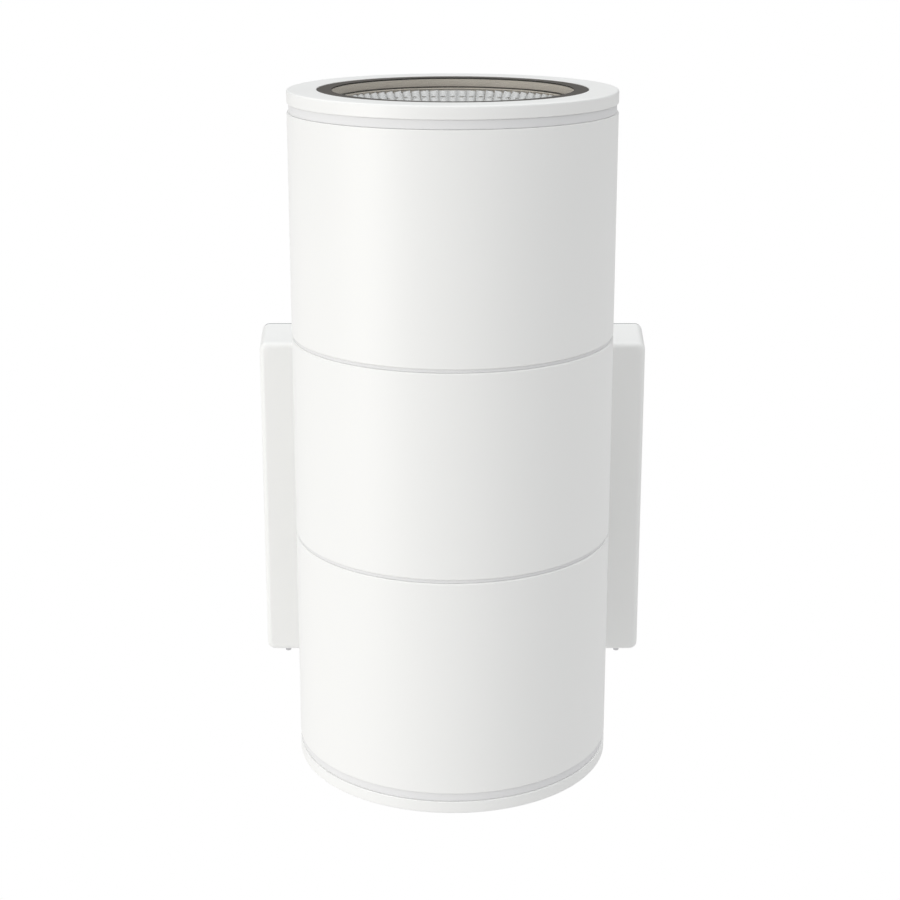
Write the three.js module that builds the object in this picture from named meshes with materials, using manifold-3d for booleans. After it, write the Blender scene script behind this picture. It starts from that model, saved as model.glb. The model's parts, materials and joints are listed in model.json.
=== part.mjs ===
// Up-and-down wall light. A shallow cast box hangs on a wall plate and carries a cylinder of
// three stacked castings. Each end of the cylinder is a lamp head: an LED in a fluted
// reflector behind a flush glass, which a screwed ring holds.
//
// Millimetres. +Z is up, the wall is the plane Y = 0 and the light stands out towards -Y.
// The origin is the middle of the wall plate's back face.

import * as THREE from "three";
import { mergeVertices } from "three/addons/utils/BufferGeometryUtils.js";
import Module from "manifold-3d";

const wasm = await Module();
wasm.setup();

// ---- Driving dimensions ----

// The cylinder.
const lampRadius = 75;
const headHeight = 113; // from a glass end to the middle of its seam
const middleHeight = 96; // between the middles of the two seams
const seamGap = 1.6; // between two castings, filled by a seal
const seamChamfer = 0.5;
const seamSealDepth = 0.7; // the seam seal's outside below the cylinder's
const bodyWall = 5;
const bossWall = 4; // round the hole of a tie screw

// The wall box and where it sits against the cylinder.
const boxWidth = 199; // at the front face
const boxHeight = 170; // at the front face
const boxDepth = 38; // wall to front face
const boxWall = 3;
const boxCorner = 4; // corners as seen from the front
const boxEdge = 2.7; // rounding round the front face
const boxDraft = 0.055; // how far each side leans out for each millimetre towards the wall
const boxRise = 14; // the box's lower edge above the cylinder's lower end
const boxToLamp = 3; // air between the box and the cylinder's back

// The wall plate.
const plateThickness = 2;
const plateCorner = 5;
const plateSideGap = 1;
const wallSlotWidth = 6;
const wallSlotLength = 14;
const wallSlotX = 80;
const wallSlotZ = 60;
const hookX = 55;
const hookWidth = 16;
const hookReach = 14; // from the wall to the front of the lip
const hookDrop = 12; // top of the hook's arm below the box's inner top
const hookLip = 8;
const hookRib = 4; // thickness of the box's rib behind the lip
const armThickness = 2.5;
const armWidth = 12;
const armGap = 0.5; // between an arm and the box's inner floor
const gasketThickness = 1.2;
const gasketWidth = 2.4;

// The wiring inside the box.
const cableRadius = 4.5;
const grommetWall = 3.2;
const grommetFlange = 3.3;
const grommetLength = 12;
const cableX = -45;
const cableZ = 42;
const driverLength = 120;
const driverHeight = 38;
const driverDepth = 22;
const driverZ = -45;
const driverEar = 7;
const driverEarThickness = 2;
const terminalLength = 36;
const terminalHeight = 16;
const terminalDepth = 15;
const terminalZ = 5;
const terminalPoles = 3;
const terminalWell = 2.4; // radius of one screw well
const earthX = 42;
const earthZ = 15;
const leadRadius = 2;

// The saddle between box and cylinder.
const neckWidth = 64;
const neckHeight = 58;
const neckCorner = 8;
const neckDropFromBoxTop = 35; // centre of the saddle below the box's upper edge
const neckBoltSpread = 20; // each bolt from the saddle's centre
const neckSealThickness = 1;
const ductRadius = 9;
const padHalfWidth = 24;
const padDepth = 10; // how far the pad inside the middle body reaches in from the bore

// A lamp head, from its glass end inwards.
const ringHeight = 5.8; // visible side of the screwed ring
const ringEdge = 0.8; // chamfer of its outer edge
const ringFace = 13.5; // width of its end face
const ringSkirtWall = 4.5;
const threadPitch = 3;
const threadTurns = 2; // turns from tight to free
const threadLeadIn = 3; // plain end of the ring's skirt below its thread
const grooveHeight = 4.2; // between the ring and the housing, filled by a gasket
const grooveDepth = 0.8; // the gasket's outside below the cylinder's
const grooveEdge = 0.4; // chamfer of the housing's edge at the groove
const glassThickness = 4;
const glassInset = 0.3; // glass below the ring's end face
const borderWidth = 7; // the dark joint between the glass and the ring
const borderThickness = 0.5;
const sealThickness = 0.3;
const seatLip = 1.4; // how far the seat's lip reaches in under the glass
const seatLipThickness = 0.6;
const ledgeThickness = 2.4;
const rimThickness = 1.2;
const reflectorWall = 1.2;
const reflectorMouthInset = 1;
const reflectorThroatGap = 2; // from the emitter's edge to the reflector's small end
const bowlLevels = [1, 0.6, 0.25, 0]; // where the bowl's curve has corners, from its mouth down
const ledgeGap = 2; // between the ring's ledge and the reflector's mouth
const boardSide = 19;
const boardThickness = 1.5;
const emitterRadius = 8;
const emitterThickness = 0.8;
const padThickness = 0.5;
const holderRadius = 24;
const holderLipThickness = 1.6;
const holderLipGap = 1.5; // from the emitter's edge to the holder's lip
const sinkBase = 6;
const finHeight = 36;
const finCount = 12;
const finThickness = 2.2;
const hubRadius = 18;
const floorThickness = 5;
const leadHoleY = 32; // the lead's way through a head, from the cylinder's axis towards the wall
const leadHoleX = 4;
const leadHoleRadius = 3.2;

// Screws: shank radius, head radius, head height.
const tieScrew = { shank: 2.5, head: 4.2, headHeight: 4, grip: 14 };
const sinkScrew = { shank: 2, head: 3.5, headHeight: 3, grip: 12 };
const neckBolt = { shank: 3, head: 5, headHeight: 5 };
const driverScrew = { shank: 1.5, head: 2.8, headHeight: 2 };
const boxScrew = { shank: 1.5, standOut: 3, back: 7, inset: 10.5, past: 3 };
const earthScrew = { shank: 2, head: 4, headHeight: 3, length: 8 };
const tieCount = 3;
const sinkScrewOffset = 12;

// Clearances.
const restGap = 0.2; // between faces that rest on each other
const fitGap = 0.5; // round what slides or lifts past a neighbour
const threadGap = 0.4; // round a thread, which is drawn as a plain cylinder
const screwGap = 0.3; // round a screw in its hole
const headClearance = 2; // round a screw head

// Number of flats that stand for a full turn.
const bodySteps = 48;
const ringSteps = 36;
const holeSteps = 16;
const screwSteps = 8;
const cornerSteps = 2;
const leadSteps = 24;
const leadSides = 8;

// ---- Sizes that follow ----

const lampHeight = 2 * headHeight + middleHeight;
const lampBottomZ = -(boxHeight / 2 + boxRise);
const lampAxisY = -(boxDepth + boxToLamp + lampRadius);
const boreRadius = lampRadius - bodyWall;
const tieCircle = boreRadius - tieScrew.head - headClearance / 2;
const neckZ = boxHeight / 2 - neckDropFromBoxTop;

const faceRadius = lampRadius - ringFace;
const glassRadius = faceRadius - borderWidth;
const seatBore = glassRadius + restGap;
const lipRadius = glassRadius - seatLip;
const mouthRadius = glassRadius - reflectorMouthInset;
const ledgeRadius = mouthRadius + reflectorWall + ledgeGap;
const skirtOuter = boreRadius - threadGap;
const skirtInner = skirtOuter - ringSkirtWall;
const rimRadius = skirtInner - fitGap;
const skirtLength = grooveHeight + threadPitch * threadTurns + threadLeadIn;

// Depths below a head's end face.
const glassBottom = glassInset + glassThickness;
const borderBottom = glassInset + borderThickness;
const sealTop = glassBottom + restGap;
const sealBottom = sealTop + sealThickness;
const seatBottom = sealBottom + restGap + seatLipThickness;
const ledgeTop = seatBottom + restGap;
const ledgeBottom = ledgeTop + ledgeThickness;
const housingTop = ringHeight + grooveHeight;
const rimTop = ledgeBottom + restGap;
const rimBottom = rimTop + rimThickness;
const floorInner = headHeight - seamGap / 2 - floorThickness;
const floorOuter = floorInner + floorThickness;
const finBottom = floorInner - restGap;
const sinkTop = finBottom - finHeight - sinkBase;
const padTop = sinkTop - restGap - padThickness;
const boardTop = padTop - restGap - boardThickness;
const holderTop = boardTop - restGap - holderLipThickness;
const reflectorBottom = holderTop - restGap;
const sinkRadius = tieCircle - tieScrew.head - headClearance;

// ---- Finishes ----

const finishes = {
  whitePaint: { color: 0xeeeeec, roughness: 0.5, metalness: 0 },
  zincSteel: { color: 0xb9bcc0, roughness: 0.4, metalness: 0.9 },
  stainless: { color: 0xa8aaad, roughness: 0.35, metalness: 1 },
  bareAluminium: { color: 0xc4c6c8, roughness: 0.45, metalness: 0.9 },
  mirrorAluminium: { color: 0xe4e6e8, roughness: 0.12, metalness: 1 },
  champagne: { color: 0xb3a89a, roughness: 0.5, metalness: 0.3 },
  clearGlass: { color: 0xe8f0ee, roughness: 0.03, metalness: 0, transparent: true, opacity: 0.3 },
  blackSilicone: { color: 0x37332e, roughness: 0.6, metalness: 0 },
  greySilicone: { color: 0xd8d8dc, roughness: 0.6, metalness: 0 },
  greyFoam: { color: 0x55585a, roughness: 0.9, metalness: 0 },
  blackPlastic: { color: 0x202224, roughness: 0.5, metalness: 0 },
  whitePlastic: { color: 0xe6e4de, roughness: 0.45, metalness: 0 },
  ceramic: { color: 0xf0efe9, roughness: 0.4, metalness: 0 },
  phosphor: { color: 0xe8c84a, roughness: 0.7, metalness: 0 },
  thermalPad: { color: 0x8fa3b5, roughness: 0.9, metalness: 0 },
  brass: { color: 0xc9a24e, roughness: 0.35, metalness: 1 },
};

function mesh(name, geometry, finish) {
  const made = new THREE.Mesh(geometry, new THREE.MeshStandardMaterial(finishes[finish]));
  made.name = name;
  return made;
}

// ---- Shapes ----

function solid(geometry) {
  const bare = geometry.clone();
  bare.deleteAttribute("normal");
  bare.deleteAttribute("uv");
  const merged = mergeVertices(bare, 1e-4);
  return new wasm.Manifold(
    new wasm.Mesh({
      numProp: 3,
      vertProperties: new Float32Array(merged.attributes.position.array),
      triVerts: new Uint32Array(merged.index.array),
    }),
  );
}

function geometryOf(body) {
  const { vertProperties, triVerts } = body.getMesh();
  const geometry = new THREE.BufferGeometry();
  geometry.setAttribute("position", new THREE.BufferAttribute(vertProperties, 3));
  geometry.setIndex(new THREE.BufferAttribute(triVerts, 1));
  geometry.computeVertexNormals();
  return geometry;
}

function join(first, ...others) {
  return geometryOf(others.reduce((sum, one) => sum.add(solid(one)), solid(first)));
}

function cut(first, ...tools) {
  return geometryOf(tools.reduce((left, one) => left.subtract(solid(one)), solid(first)));
}

// [radius, height] corners turned about Z. A profile that starts off the axis closes on itself.
function turned(profile, steps = bodySteps) {
  const twiceArea = profile.reduce((sum, [r, z], i) => {
    const [nextR, nextZ] = profile[(i + 1) % profile.length];
    return sum + r * nextZ - nextR * z;
  }, 0);
  const ordered = twiceArea < 0 ? [...profile].reverse() : [...profile];
  if (ordered[0][0] > 0) ordered.push(ordered[0]);
  const corners = ordered.map(([r, z]) => new THREE.Vector2(r, z));
  return new THREE.LatheGeometry(corners, steps).rotateX(Math.PI / 2);
}

// The same, for a profile given as [radius, depth below a head's end face].
function turnedAtDepth(profile, steps = bodySteps) {
  return turned(profile.map(([r, depth]) => [r, -depth]), steps);
}

function rod(radius, low, high, steps = screwSteps) {
  return turned([[0, low], [radius, low], [radius, high], [0, high]], steps);
}

// A rod along Y, from the side nearer the wall to the side away from it.
function rodOut(radius, nearY, farY, steps = screwSteps) {
  return rod(radius, -nearY, -farY, steps).rotateX(Math.PI / 2);
}

function block([x0, x1], [y0, y1], [z0, z1]) {
  return new THREE.BoxGeometry(x1 - x0, y1 - y0, z1 - z0).translate(
    (x0 + x1) / 2,
    (y0 + y1) / 2,
    (z0 + z1) / 2,
  );
}

function roundedOutline(Kind, width, height, radius) {
  const [x, y] = [width / 2 - radius, height / 2 - radius];
  return new Kind()
    .absarc(x, y, radius, 0, Math.PI / 2)
    .absarc(-x, y, radius, Math.PI / 2, Math.PI)
    .absarc(-x, -y, radius, Math.PI, 1.5 * Math.PI)
    .absarc(x, -y, radius, 1.5 * Math.PI, 2 * Math.PI);
}

// An outline in X and Z, extruded away from the wall from Y = nearY.
function plate(outline, nearY, depth, bevel = {}) {
  const options = { depth, bevelEnabled: false, curveSegments: cornerSteps, ...bevel };
  return new THREE.ExtrudeGeometry(outline, options).rotateX(Math.PI / 2).translate(0, nearY, 0);
}

function ringOutline(width, height, radius, band) {
  const outline = roundedOutline(THREE.Shape, width, height, radius);
  const inner = Math.max(radius - band, band / 4);
  outline.holes.push(roundedOutline(THREE.Path, width - 2 * band, height - 2 * band, inner));
  return outline;
}

// Leans the sides out towards the wall.
function drafted(geometry) {
  const place = geometry.attributes.position;
  for (let i = 0; i < place.count; i++) {
    const lean = boxDraft * (place.getY(i) + boxDepth);
    place.setX(i, place.getX(i) + Math.sign(place.getX(i)) * lean);
    place.setZ(i, place.getZ(i) + Math.sign(place.getZ(i)) * lean);
  }
  return geometry;
}

// A screw along Z: its head sits on Z = 0, and its shank reaches down through the joint.
function screw({ shank, head, headHeight }, length) {
  const chamfer = headHeight / 5;
  return turned(
    [
      [0, headHeight],
      [head - chamfer, headHeight],
      [head, headHeight - chamfer],
      [head, 0],
      [shank, 0],
      [shank, -length],
      [0, -length],
    ],
    screwSteps,
  );
}

// ---- The wall side ----

const gasketNearY = -restGap;
const boxRimY = gasketNearY - gasketThickness - restGap;
const boxFrontInnerY = -(boxDepth - boxWall);
const plateFrontY = -plateThickness;
const plateHalfHeight = boxHeight / 2 - boxWall - armGap;
const plateHalfWidth = boxWidth / 2 - boxWall - plateSideGap;
const hookArmTop = boxHeight / 2 - boxWall - hookDrop;
const lipBackY = -(hookReach - plateThickness);
const boxScrewX = boxWidth / 2 - boxScrew.inset;
const boxScrewY = -(boxDepth - boxScrew.back);
const grommetOuter = cableRadius + grommetWall;

function slotCutter(x, z) {
  const outline = roundedOutline(THREE.Shape, wallSlotWidth, wallSlotLength, wallSlotWidth / 2);
  return plate(outline, plateThickness, 3 * plateThickness).translate(x, 0, z);
}

function wallPlate() {
  const outline = roundedOutline(
    THREE.Shape, 2 * plateHalfWidth, 2 * plateHalfHeight, plateCorner);
  const pieces = [];
  const cutters = [
    rodOut(grommetOuter + restGap, 1, plateFrontY - 1, holeSteps).translate(cableX, 0, cableZ),
    rodOut(earthScrew.shank + screwGap, 1, plateFrontY - 1).translate(earthX, 0, earthZ),
  ];
  for (const side of [-1, 1]) {
    const hook = [side * hookX - hookWidth / 2, side * hookX + hookWidth / 2];
    const arm = [side * boxScrewX - armWidth / 2, side * boxScrewX + armWidth / 2];
    const armTop = armThickness - plateHalfHeight;
    const armFrontY = boxFrontInnerY + fitGap;
    pieces.push(
      block(hook, [-hookReach, plateFrontY / 2], [hookArmTop - plateThickness, hookArmTop]),
      block(hook, [-hookReach, lipBackY], [hookArmTop - plateThickness / 2, hookArmTop + hookLip]),
      block(arm, [armFrontY, plateFrontY / 2], [-plateHalfHeight, armTop]),
    );
    cutters.push(
      rod(boxScrew.shank + screwGap, -plateHalfHeight - 1, armTop + 1)
        .translate(side * boxScrewX, boxScrewY, 0),
      slotCutter(side * wallSlotX, wallSlotZ),
      slotCutter(side * wallSlotX, -wallSlotZ),
      rodOut(driverScrew.shank + screwGap, 1, plateFrontY - 1)
        .translate(side * (driverLength + driverEar) / 2, 0, driverZ),
    );
  }
  return cut(join(plate(outline, 0, plateThickness), ...pieces), ...cutters);
}

function boxGasket() {
  const lean = 2 * boxDraft * (boxDepth + boxRimY);
  const outline = ringOutline(boxWidth + lean, boxHeight + lean, boxCorner, gasketWidth);
  return plate(outline, gasketNearY, gasketThickness);
}

function backBox() {
  const bevel = {
    bevelEnabled: true,
    bevelThickness: boxEdge,
    bevelSize: boxEdge,
    bevelOffset: -boxEdge,
    bevelSegments: 3,
  };
  const outline = roundedOutline(THREE.Shape, boxWidth, boxHeight, boxCorner);
  const shell = drafted(plate(outline, 0, boxDepth - boxEdge, bevel));
  const hollowOutline = roundedOutline(
    THREE.Shape, boxWidth - 2 * boxWall, boxHeight - 2 * boxWall, boxCorner - boxWall);
  const hollow = drafted(plate(hollowOutline, boxDepth, 2 * boxDepth - boxWall));
  const behind = block([-boxWidth, boxWidth], [boxRimY, boxDepth], [-boxHeight, boxHeight]);
  const ribFrontY = lipBackY + fitGap + restGap;
  const cutters = [
    rodOut(ductRadius, 0, -2 * boxDepth, holeSteps).translate(0, 0, neckZ),
  ];
  const ribs = [];
  for (const side of [-1, 1]) {
    const rib = [side * hookX - hookWidth / 2, side * hookX + hookWidth / 2];
    ribs.push(block(rib, [ribFrontY, ribFrontY + hookRib], [hookArmTop + restGap, boxHeight / 2]));
    cutters.push(
      rodOut(neckBolt.shank + screwGap, 0, -2 * boxDepth)
        .translate(0, 0, neckZ + side * neckBoltSpread),
      rod(boxScrew.shank + screwGap, -boxHeight, -plateHalfHeight)
        .translate(side * boxScrewX, boxScrewY, 0),
    );
  }
  return cut(join(cut(shell, hollow, behind), ...ribs), ...cutters);
}

// A socket set screw, driven up from under the box into the wall plate's arm.
function boxScrewShape() {
  const low = -(boxHeight / 2 + boxScrew.standOut);
  const high = armThickness - plateHalfHeight + boxScrew.past;
  const chamfer = boxScrew.shank / 4;
  const socketDepth = boxScrew.standOut / 2;
  return turned(
    [
      [0, low + socketDepth],
      [boxScrew.shank / 2, low + socketDepth],
      [boxScrew.shank / 2, low],
      [boxScrew.shank - chamfer, low],
      [boxScrew.shank, low + chamfer],
      [boxScrew.shank, high],
      [0, high],
    ],
    screwSteps,
  );
}

function cableGrommet() {
  const flangeTop = plateThickness + restGap;
  return turned(
    [
      [cableRadius, restGap],
      [grommetOuter, restGap],
      [grommetOuter, flangeTop],
      [grommetOuter + grommetFlange, flangeTop],
      [grommetOuter + grommetFlange, flangeTop + grommetFlange],
      [cableRadius + grommetWall / 2, grommetLength],
      [cableRadius, grommetLength],
    ],
    holeSteps,
  )
    .rotateX(Math.PI / 2)
    .translate(cableX, 0, cableZ);
}

function terminalBlock() {
  const nearY = plateFrontY - restGap;
  const pitch = terminalLength / terminalPoles;
  const body = block(
    [cableX - terminalLength / 2, cableX + terminalLength / 2],
    [nearY - terminalDepth, nearY],
    [terminalZ - terminalHeight / 2, terminalZ + terminalHeight / 2],
  );
  const wells = Array.from({ length: terminalPoles }, (_, i) =>
    rodOut(terminalWell, nearY - terminalDepth / 2, nearY - 2 * terminalDepth)
      .translate(cableX + (i - (terminalPoles - 1) / 2) * pitch, 0, terminalZ),
  );
  return cut(body, ...wells);
}

function driver() {
  const nearY = plateFrontY - restGap;
  const body = roundedOutline(THREE.Shape, driverLength, driverHeight, plateCorner);
  const ears = roundedOutline(
    THREE.Shape, driverLength + 2 * driverEar, driverHeight / 2, plateCorner);
  const holes = [-1, 1].map((side) =>
    rodOut(driverScrew.shank + screwGap, 1, nearY - driverDepth)
      .translate(side * (driverLength + driverEar) / 2, 0, 0),
  );
  return cut(
    join(plate(body, nearY, driverDepth), plate(ears, nearY, driverEarThickness)),
    ...holes,
  ).translate(0, 0, driverZ);
}

// A screw that stands away from the wall, with its head's seat at Y = seatY.
function screwOut(size, length, x, seatY, z) {
  return screw(size, length).rotateX(Math.PI / 2).translate(x, seatY, z);
}

// ---- The saddle ----

const neckNearY = -(boxDepth + neckSealThickness + 2 * restGap);

function neckHoles() {
  return [
    rodOut(ductRadius, 0, lampAxisY, holeSteps).translate(0, 0, neckZ),
    ...[-1, 1].map((side) =>
      rodOut(neckBolt.shank + screwGap, 0, lampAxisY)
        .translate(0, 0, neckZ + side * neckBoltSpread),
    ),
  ];
}

function lampCylinder(radius) {
  return rod(radius, lampBottomZ, lampBottomZ + lampHeight, bodySteps)
    .translate(0, lampAxisY, 0);
}

function neck() {
  const outline = roundedOutline(THREE.Shape, neckWidth, neckHeight, neckCorner);
  const saddle = plate(outline, neckNearY, lampRadius / 2).translate(0, 0, neckZ);
  return cut(saddle, lampCylinder(lampRadius + restGap), ...neckHoles());
}

function neckSeal() {
  const outline = ringOutline(
    neckWidth - neckCorner / 2, neckHeight - neckCorner / 2, neckCorner, neckCorner / 2);
  return plate(outline, -(boxDepth + restGap), neckSealThickness).translate(0, 0, neckZ);
}

function neckBoltShape(side) {
  const seatY = boxFrontInnerY + restGap;
  const endY = lampAxisY + boreRadius - padDepth - restGap;
  const bolt = screw(neckBolt, seatY - endY).rotateX(-Math.PI / 2);
  return bolt.translate(0, seatY, neckZ + side * neckBoltSpread);
}

// ---- The cylinder's middle ----

function tieAngles() {
  return Array.from({ length: tieCount }, (_, i) => -Math.PI / 2 + (i * 2 * Math.PI) / tieCount);
}

function atAngle(geometry, radius, angle) {
  return geometry.translate(radius * Math.cos(angle), radius * Math.sin(angle), 0);
}

function middleBody() {
  const low = headHeight + seamGap / 2;
  const high = headHeight + middleHeight - seamGap / 2;
  const tube = turned([
    [boreRadius, low],
    [lampRadius - seamChamfer, low],
    [lampRadius, low + seamChamfer],
    [lampRadius, high - seamChamfer],
    [lampRadius - seamChamfer, high],
    [boreRadius, high],
  ]);
  const bossRadius = tieScrew.shank + bossWall;
  const padMiddle = neckZ - lampBottomZ;
  const padHalfHeight = neckBoltSpread + 2 * neckBolt.head;
  const inside = rod(boreRadius + bodyWall / 2, low, high, bodySteps);
  const pad = geometryOf(
    solid(
      block(
        [-padHalfWidth, padHalfWidth],
        [boreRadius - padDepth, lampRadius],
        [
          Math.max(padMiddle - padHalfHeight, low + seamGap),
          Math.min(padMiddle + padHalfHeight, high - seamGap),
        ],
      ),
    ).intersect(solid(inside)),
  );
  const bosses = tieAngles().map((angle) =>
    atAngle(rod(bossRadius, low, high), tieCircle, angle),
  );
  const holes = tieAngles().map((angle) =>
    atAngle(rod(tieScrew.shank + screwGap, low - 1, high + 1), tieCircle, angle),
  );
  const wallHoles = neckHoles().map((hole) => hole.translate(0, -lampAxisY, -lampBottomZ));
  return cut(join(tube, pad, ...bosses), ...holes, ...wallHoles);
}

// ---- A lamp head ----
// Built with its end face at Z = 0 and its inside below.

function housing() {
  const shell = turnedAtDepth([
    [0, floorInner],
    [boreRadius, floorInner],
    [boreRadius, housingTop],
    [lampRadius - grooveEdge, housingTop],
    [lampRadius, housingTop + grooveEdge],
    [lampRadius, floorOuter - seamChamfer],
    [lampRadius - seamChamfer, floorOuter],
    [0, floorOuter],
  ]);
  const low = -floorOuter - 1;
  const high = -floorInner + 1;
  return cut(
    shell,
    ...tieAngles().map((angle) =>
      atAngle(rod(tieScrew.shank + screwGap, low, high), tieCircle, angle),
    ),
    ...[-1, 1].map((side) =>
      rod(sinkScrew.shank + screwGap, low, high).translate(side * sinkScrewOffset, 0, 0),
    ),
    rod(leadHoleRadius, low, high).translate(leadHoleX, leadHoleY, 0),
  );
}

function seamSeal() {
  return sealRing(
    [boreRadius + restGap, lampRadius - seamSealDepth],
    [floorOuter + restGap, floorOuter + seamGap - restGap],
  );
}

// The gasket between the ring's shoulder and the housing.
function ringGasket() {
  return sealRing(
    [boreRadius + restGap, lampRadius - grooveDepth],
    [ringHeight + restGap, housingTop - restGap],
  );
}

// Radial fins round a hub, with a gap between two fins where the lead passes.
function heatSink() {
  const outline = new THREE.Shape();
  const half = finThickness / 2;
  const tip = Math.sqrt(sinkRadius ** 2 - half ** 2);
  const root = Math.sqrt(hubRadius ** 2 - half ** 2);
  const pitch = (2 * Math.PI) / finCount;
  for (let i = 0; i < finCount; i++) {
    const turn = (i + 0.5) * pitch + Math.PI / 2;
    const [cos, sin] = [Math.cos(turn), Math.sin(turn)];
    const corners = [[root, -half], [tip, -half], [tip, half], [root, half]];
    corners.forEach(([along, across], corner) => {
      const [x, y] = [along * cos - across * sin, along * sin + across * cos];
      if (i + corner === 0) outline.moveTo(x, y);
      else outline.lineTo(x, y);
    });
  }
  const fins = new THREE.ExtrudeGeometry(outline, {
    depth: finHeight + sinkBase / 2,
    bevelEnabled: false,
  }).translate(0, 0, -finBottom);
  const base = rod(sinkRadius, -(sinkTop + sinkBase), -sinkTop, bodySteps);
  const leadHole = rod(leadHoleRadius, -finBottom, 0).translate(leadHoleX, leadHoleY, 0);
  const screwHoles = [-1, 1].map((side) =>
    rod(sinkScrew.shank + screwGap, -finBottom - 1, -finBottom + sinkScrew.grip + 1)
      .translate(side * sinkScrewOffset, 0, 0),
  );
  return cut(join(fins, base), leadHole, ...screwHoles);
}

function sinkScrewShape(side) {
  const length = floorThickness + sinkScrew.grip;
  return screw(sinkScrew, length)
    .rotateX(Math.PI)
    .translate(side * sinkScrewOffset, 0, -floorOuter - restGap);
}

function tieScrewShape(angle) {
  const length = floorThickness + seamGap + tieScrew.grip;
  return atAngle(screw(tieScrew, length).translate(0, 0, -floorInner + restGap), tieCircle, angle);
}

function squarePlate(side, top, thickness) {
  return block([-side / 2, side / 2], [-side / 2, side / 2], [-top - thickness, -top]);
}

// A collar round the board, with a lip over its corners.
function ledHolder() {
  const boardReach = boardSide / Math.SQRT2 / Math.cos(Math.PI / holeSteps) + fitGap;
  const openingRadius = emitterRadius + holderLipGap;
  return turnedAtDepth(
    [
      [openingRadius, holderTop],
      [holderRadius, holderTop],
      [holderRadius, sinkTop - restGap],
      [boardReach, sinkTop - restGap],
      [boardReach, holderTop + holderLipThickness],
      [openingRadius, holderTop + holderLipThickness],
    ],
    holeSteps,
  );
}

// A bowl that opens as the square root of the height above its small end, with a rim that the
// ring's ledge holds down.
function reflector() {
  const small = emitterRadius + reflectorThroatGap;
  const depth = reflectorBottom - ledgeTop;
  const radiusAt = (level) => small + (mouthRadius - small) * Math.sqrt(level);
  const rimLevel = (reflectorBottom - rimBottom) / depth;
  const bowl = (wall) => (level) => [radiusAt(level) + wall, reflectorBottom - level * depth];
  const outside = [rimLevel, ...bowlLevels.slice(1)].reverse();
  return turnedAtDepth(
    [
      ...bowlLevels.map(bowl(0)),
      ...outside.map(bowl(reflectorWall)),
      [rimRadius, rimBottom],
      [rimRadius, rimTop],
      [mouthRadius + reflectorWall, rimTop],
      [mouthRadius + reflectorWall, ledgeTop],
    ],
    ringSteps,
  );
}

// The seat round the glass, with a lip under the glass's edge.
function glassSeat() {
  const outer = faceRadius - restGap;
  return turnedAtDepth(
    [
      [seatBore, borderBottom + restGap],
      [outer, borderBottom + restGap],
      [outer, seatBottom],
      [lipRadius, seatBottom],
      [lipRadius, seatBottom - seatLipThickness],
      [seatBore, seatBottom - seatLipThickness],
    ],
    ringSteps,
  );
}

// A flat ring of soft seal.
function sealRing([inner, outer], [top, bottom]) {
  return turnedAtDepth([[inner, top], [outer, top], [outer, bottom], [inner, bottom]], ringSteps);
}

function glassBorder() {
  return sealRing([seatBore, faceRadius - restGap], [glassInset, borderBottom]);
}

function glassSeal() {
  return sealRing([lipRadius + restGap, glassRadius], [sealTop, sealBottom]);
}

function glass() {
  return rod(glassRadius, -glassBottom, -glassInset, ringSteps);
}

// The screwed ring: an end face round the glass, a ledge under the seat and a skirt.
function glassRing() {
  const skirtBottom = ringHeight + skirtLength;
  return turnedAtDepth([
    [faceRadius, 0],
    [lampRadius - ringEdge, 0],
    [lampRadius, ringEdge],
    [lampRadius, ringHeight],
    [skirtOuter, ringHeight],
    [skirtOuter, skirtBottom],
    [skirtInner, skirtBottom],
    [skirtInner, ledgeBottom],
    [ledgeRadius, ledgeBottom],
    [ledgeRadius, ledgeTop],
    [faceRadius, ledgeTop],
  ]);
}

function lampHead(name) {
  const head = new THREE.Group();
  const add = (part, geometry, finish) => head.add(mesh(`${name}_${part}`, geometry, finish));
  const emitterTop = boardTop - restGap - emitterThickness;
  add("housing", housing(), "whitePaint");
  add("seam_seal", seamSeal(), "greySilicone");
  add("heat_sink", heatSink(), "bareAluminium");
  add("thermal_pad", squarePlate(boardSide, padTop, padThickness), "thermalPad");
  add("led_board", squarePlate(boardSide, boardTop, boardThickness), "ceramic");
  add(
    "led_emitter",
    rod(emitterRadius, -emitterTop - emitterThickness, -emitterTop, holeSteps),
    "phosphor",
  );
  add("led_holder", ledHolder(), "whitePlastic");
  add("reflector", reflector(), "mirrorAluminium");
  add("glass_seat", glassSeat(), "champagne");
  add("glass_border", glassBorder(), "blackSilicone");
  add("glass_seal", glassSeal(), "blackSilicone");
  add("glass", glass(), "clearGlass");
  add("glass_ring", glassRing(), "whitePaint");
  add("ring_gasket", ringGasket(), "greySilicone");
  tieAngles().forEach((angle, i) => add(`tie_screw_${i + 1}`, tieScrewShape(angle), "stainless"));
  [-1, 1].forEach((side, i) => add(`sink_screw_${i + 1}`, sinkScrewShape(side), "stainless"));
  return head;
}

// ---- The leads ----
// From the driver through the saddle into the cylinder, and along it to a head's LED.

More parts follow.
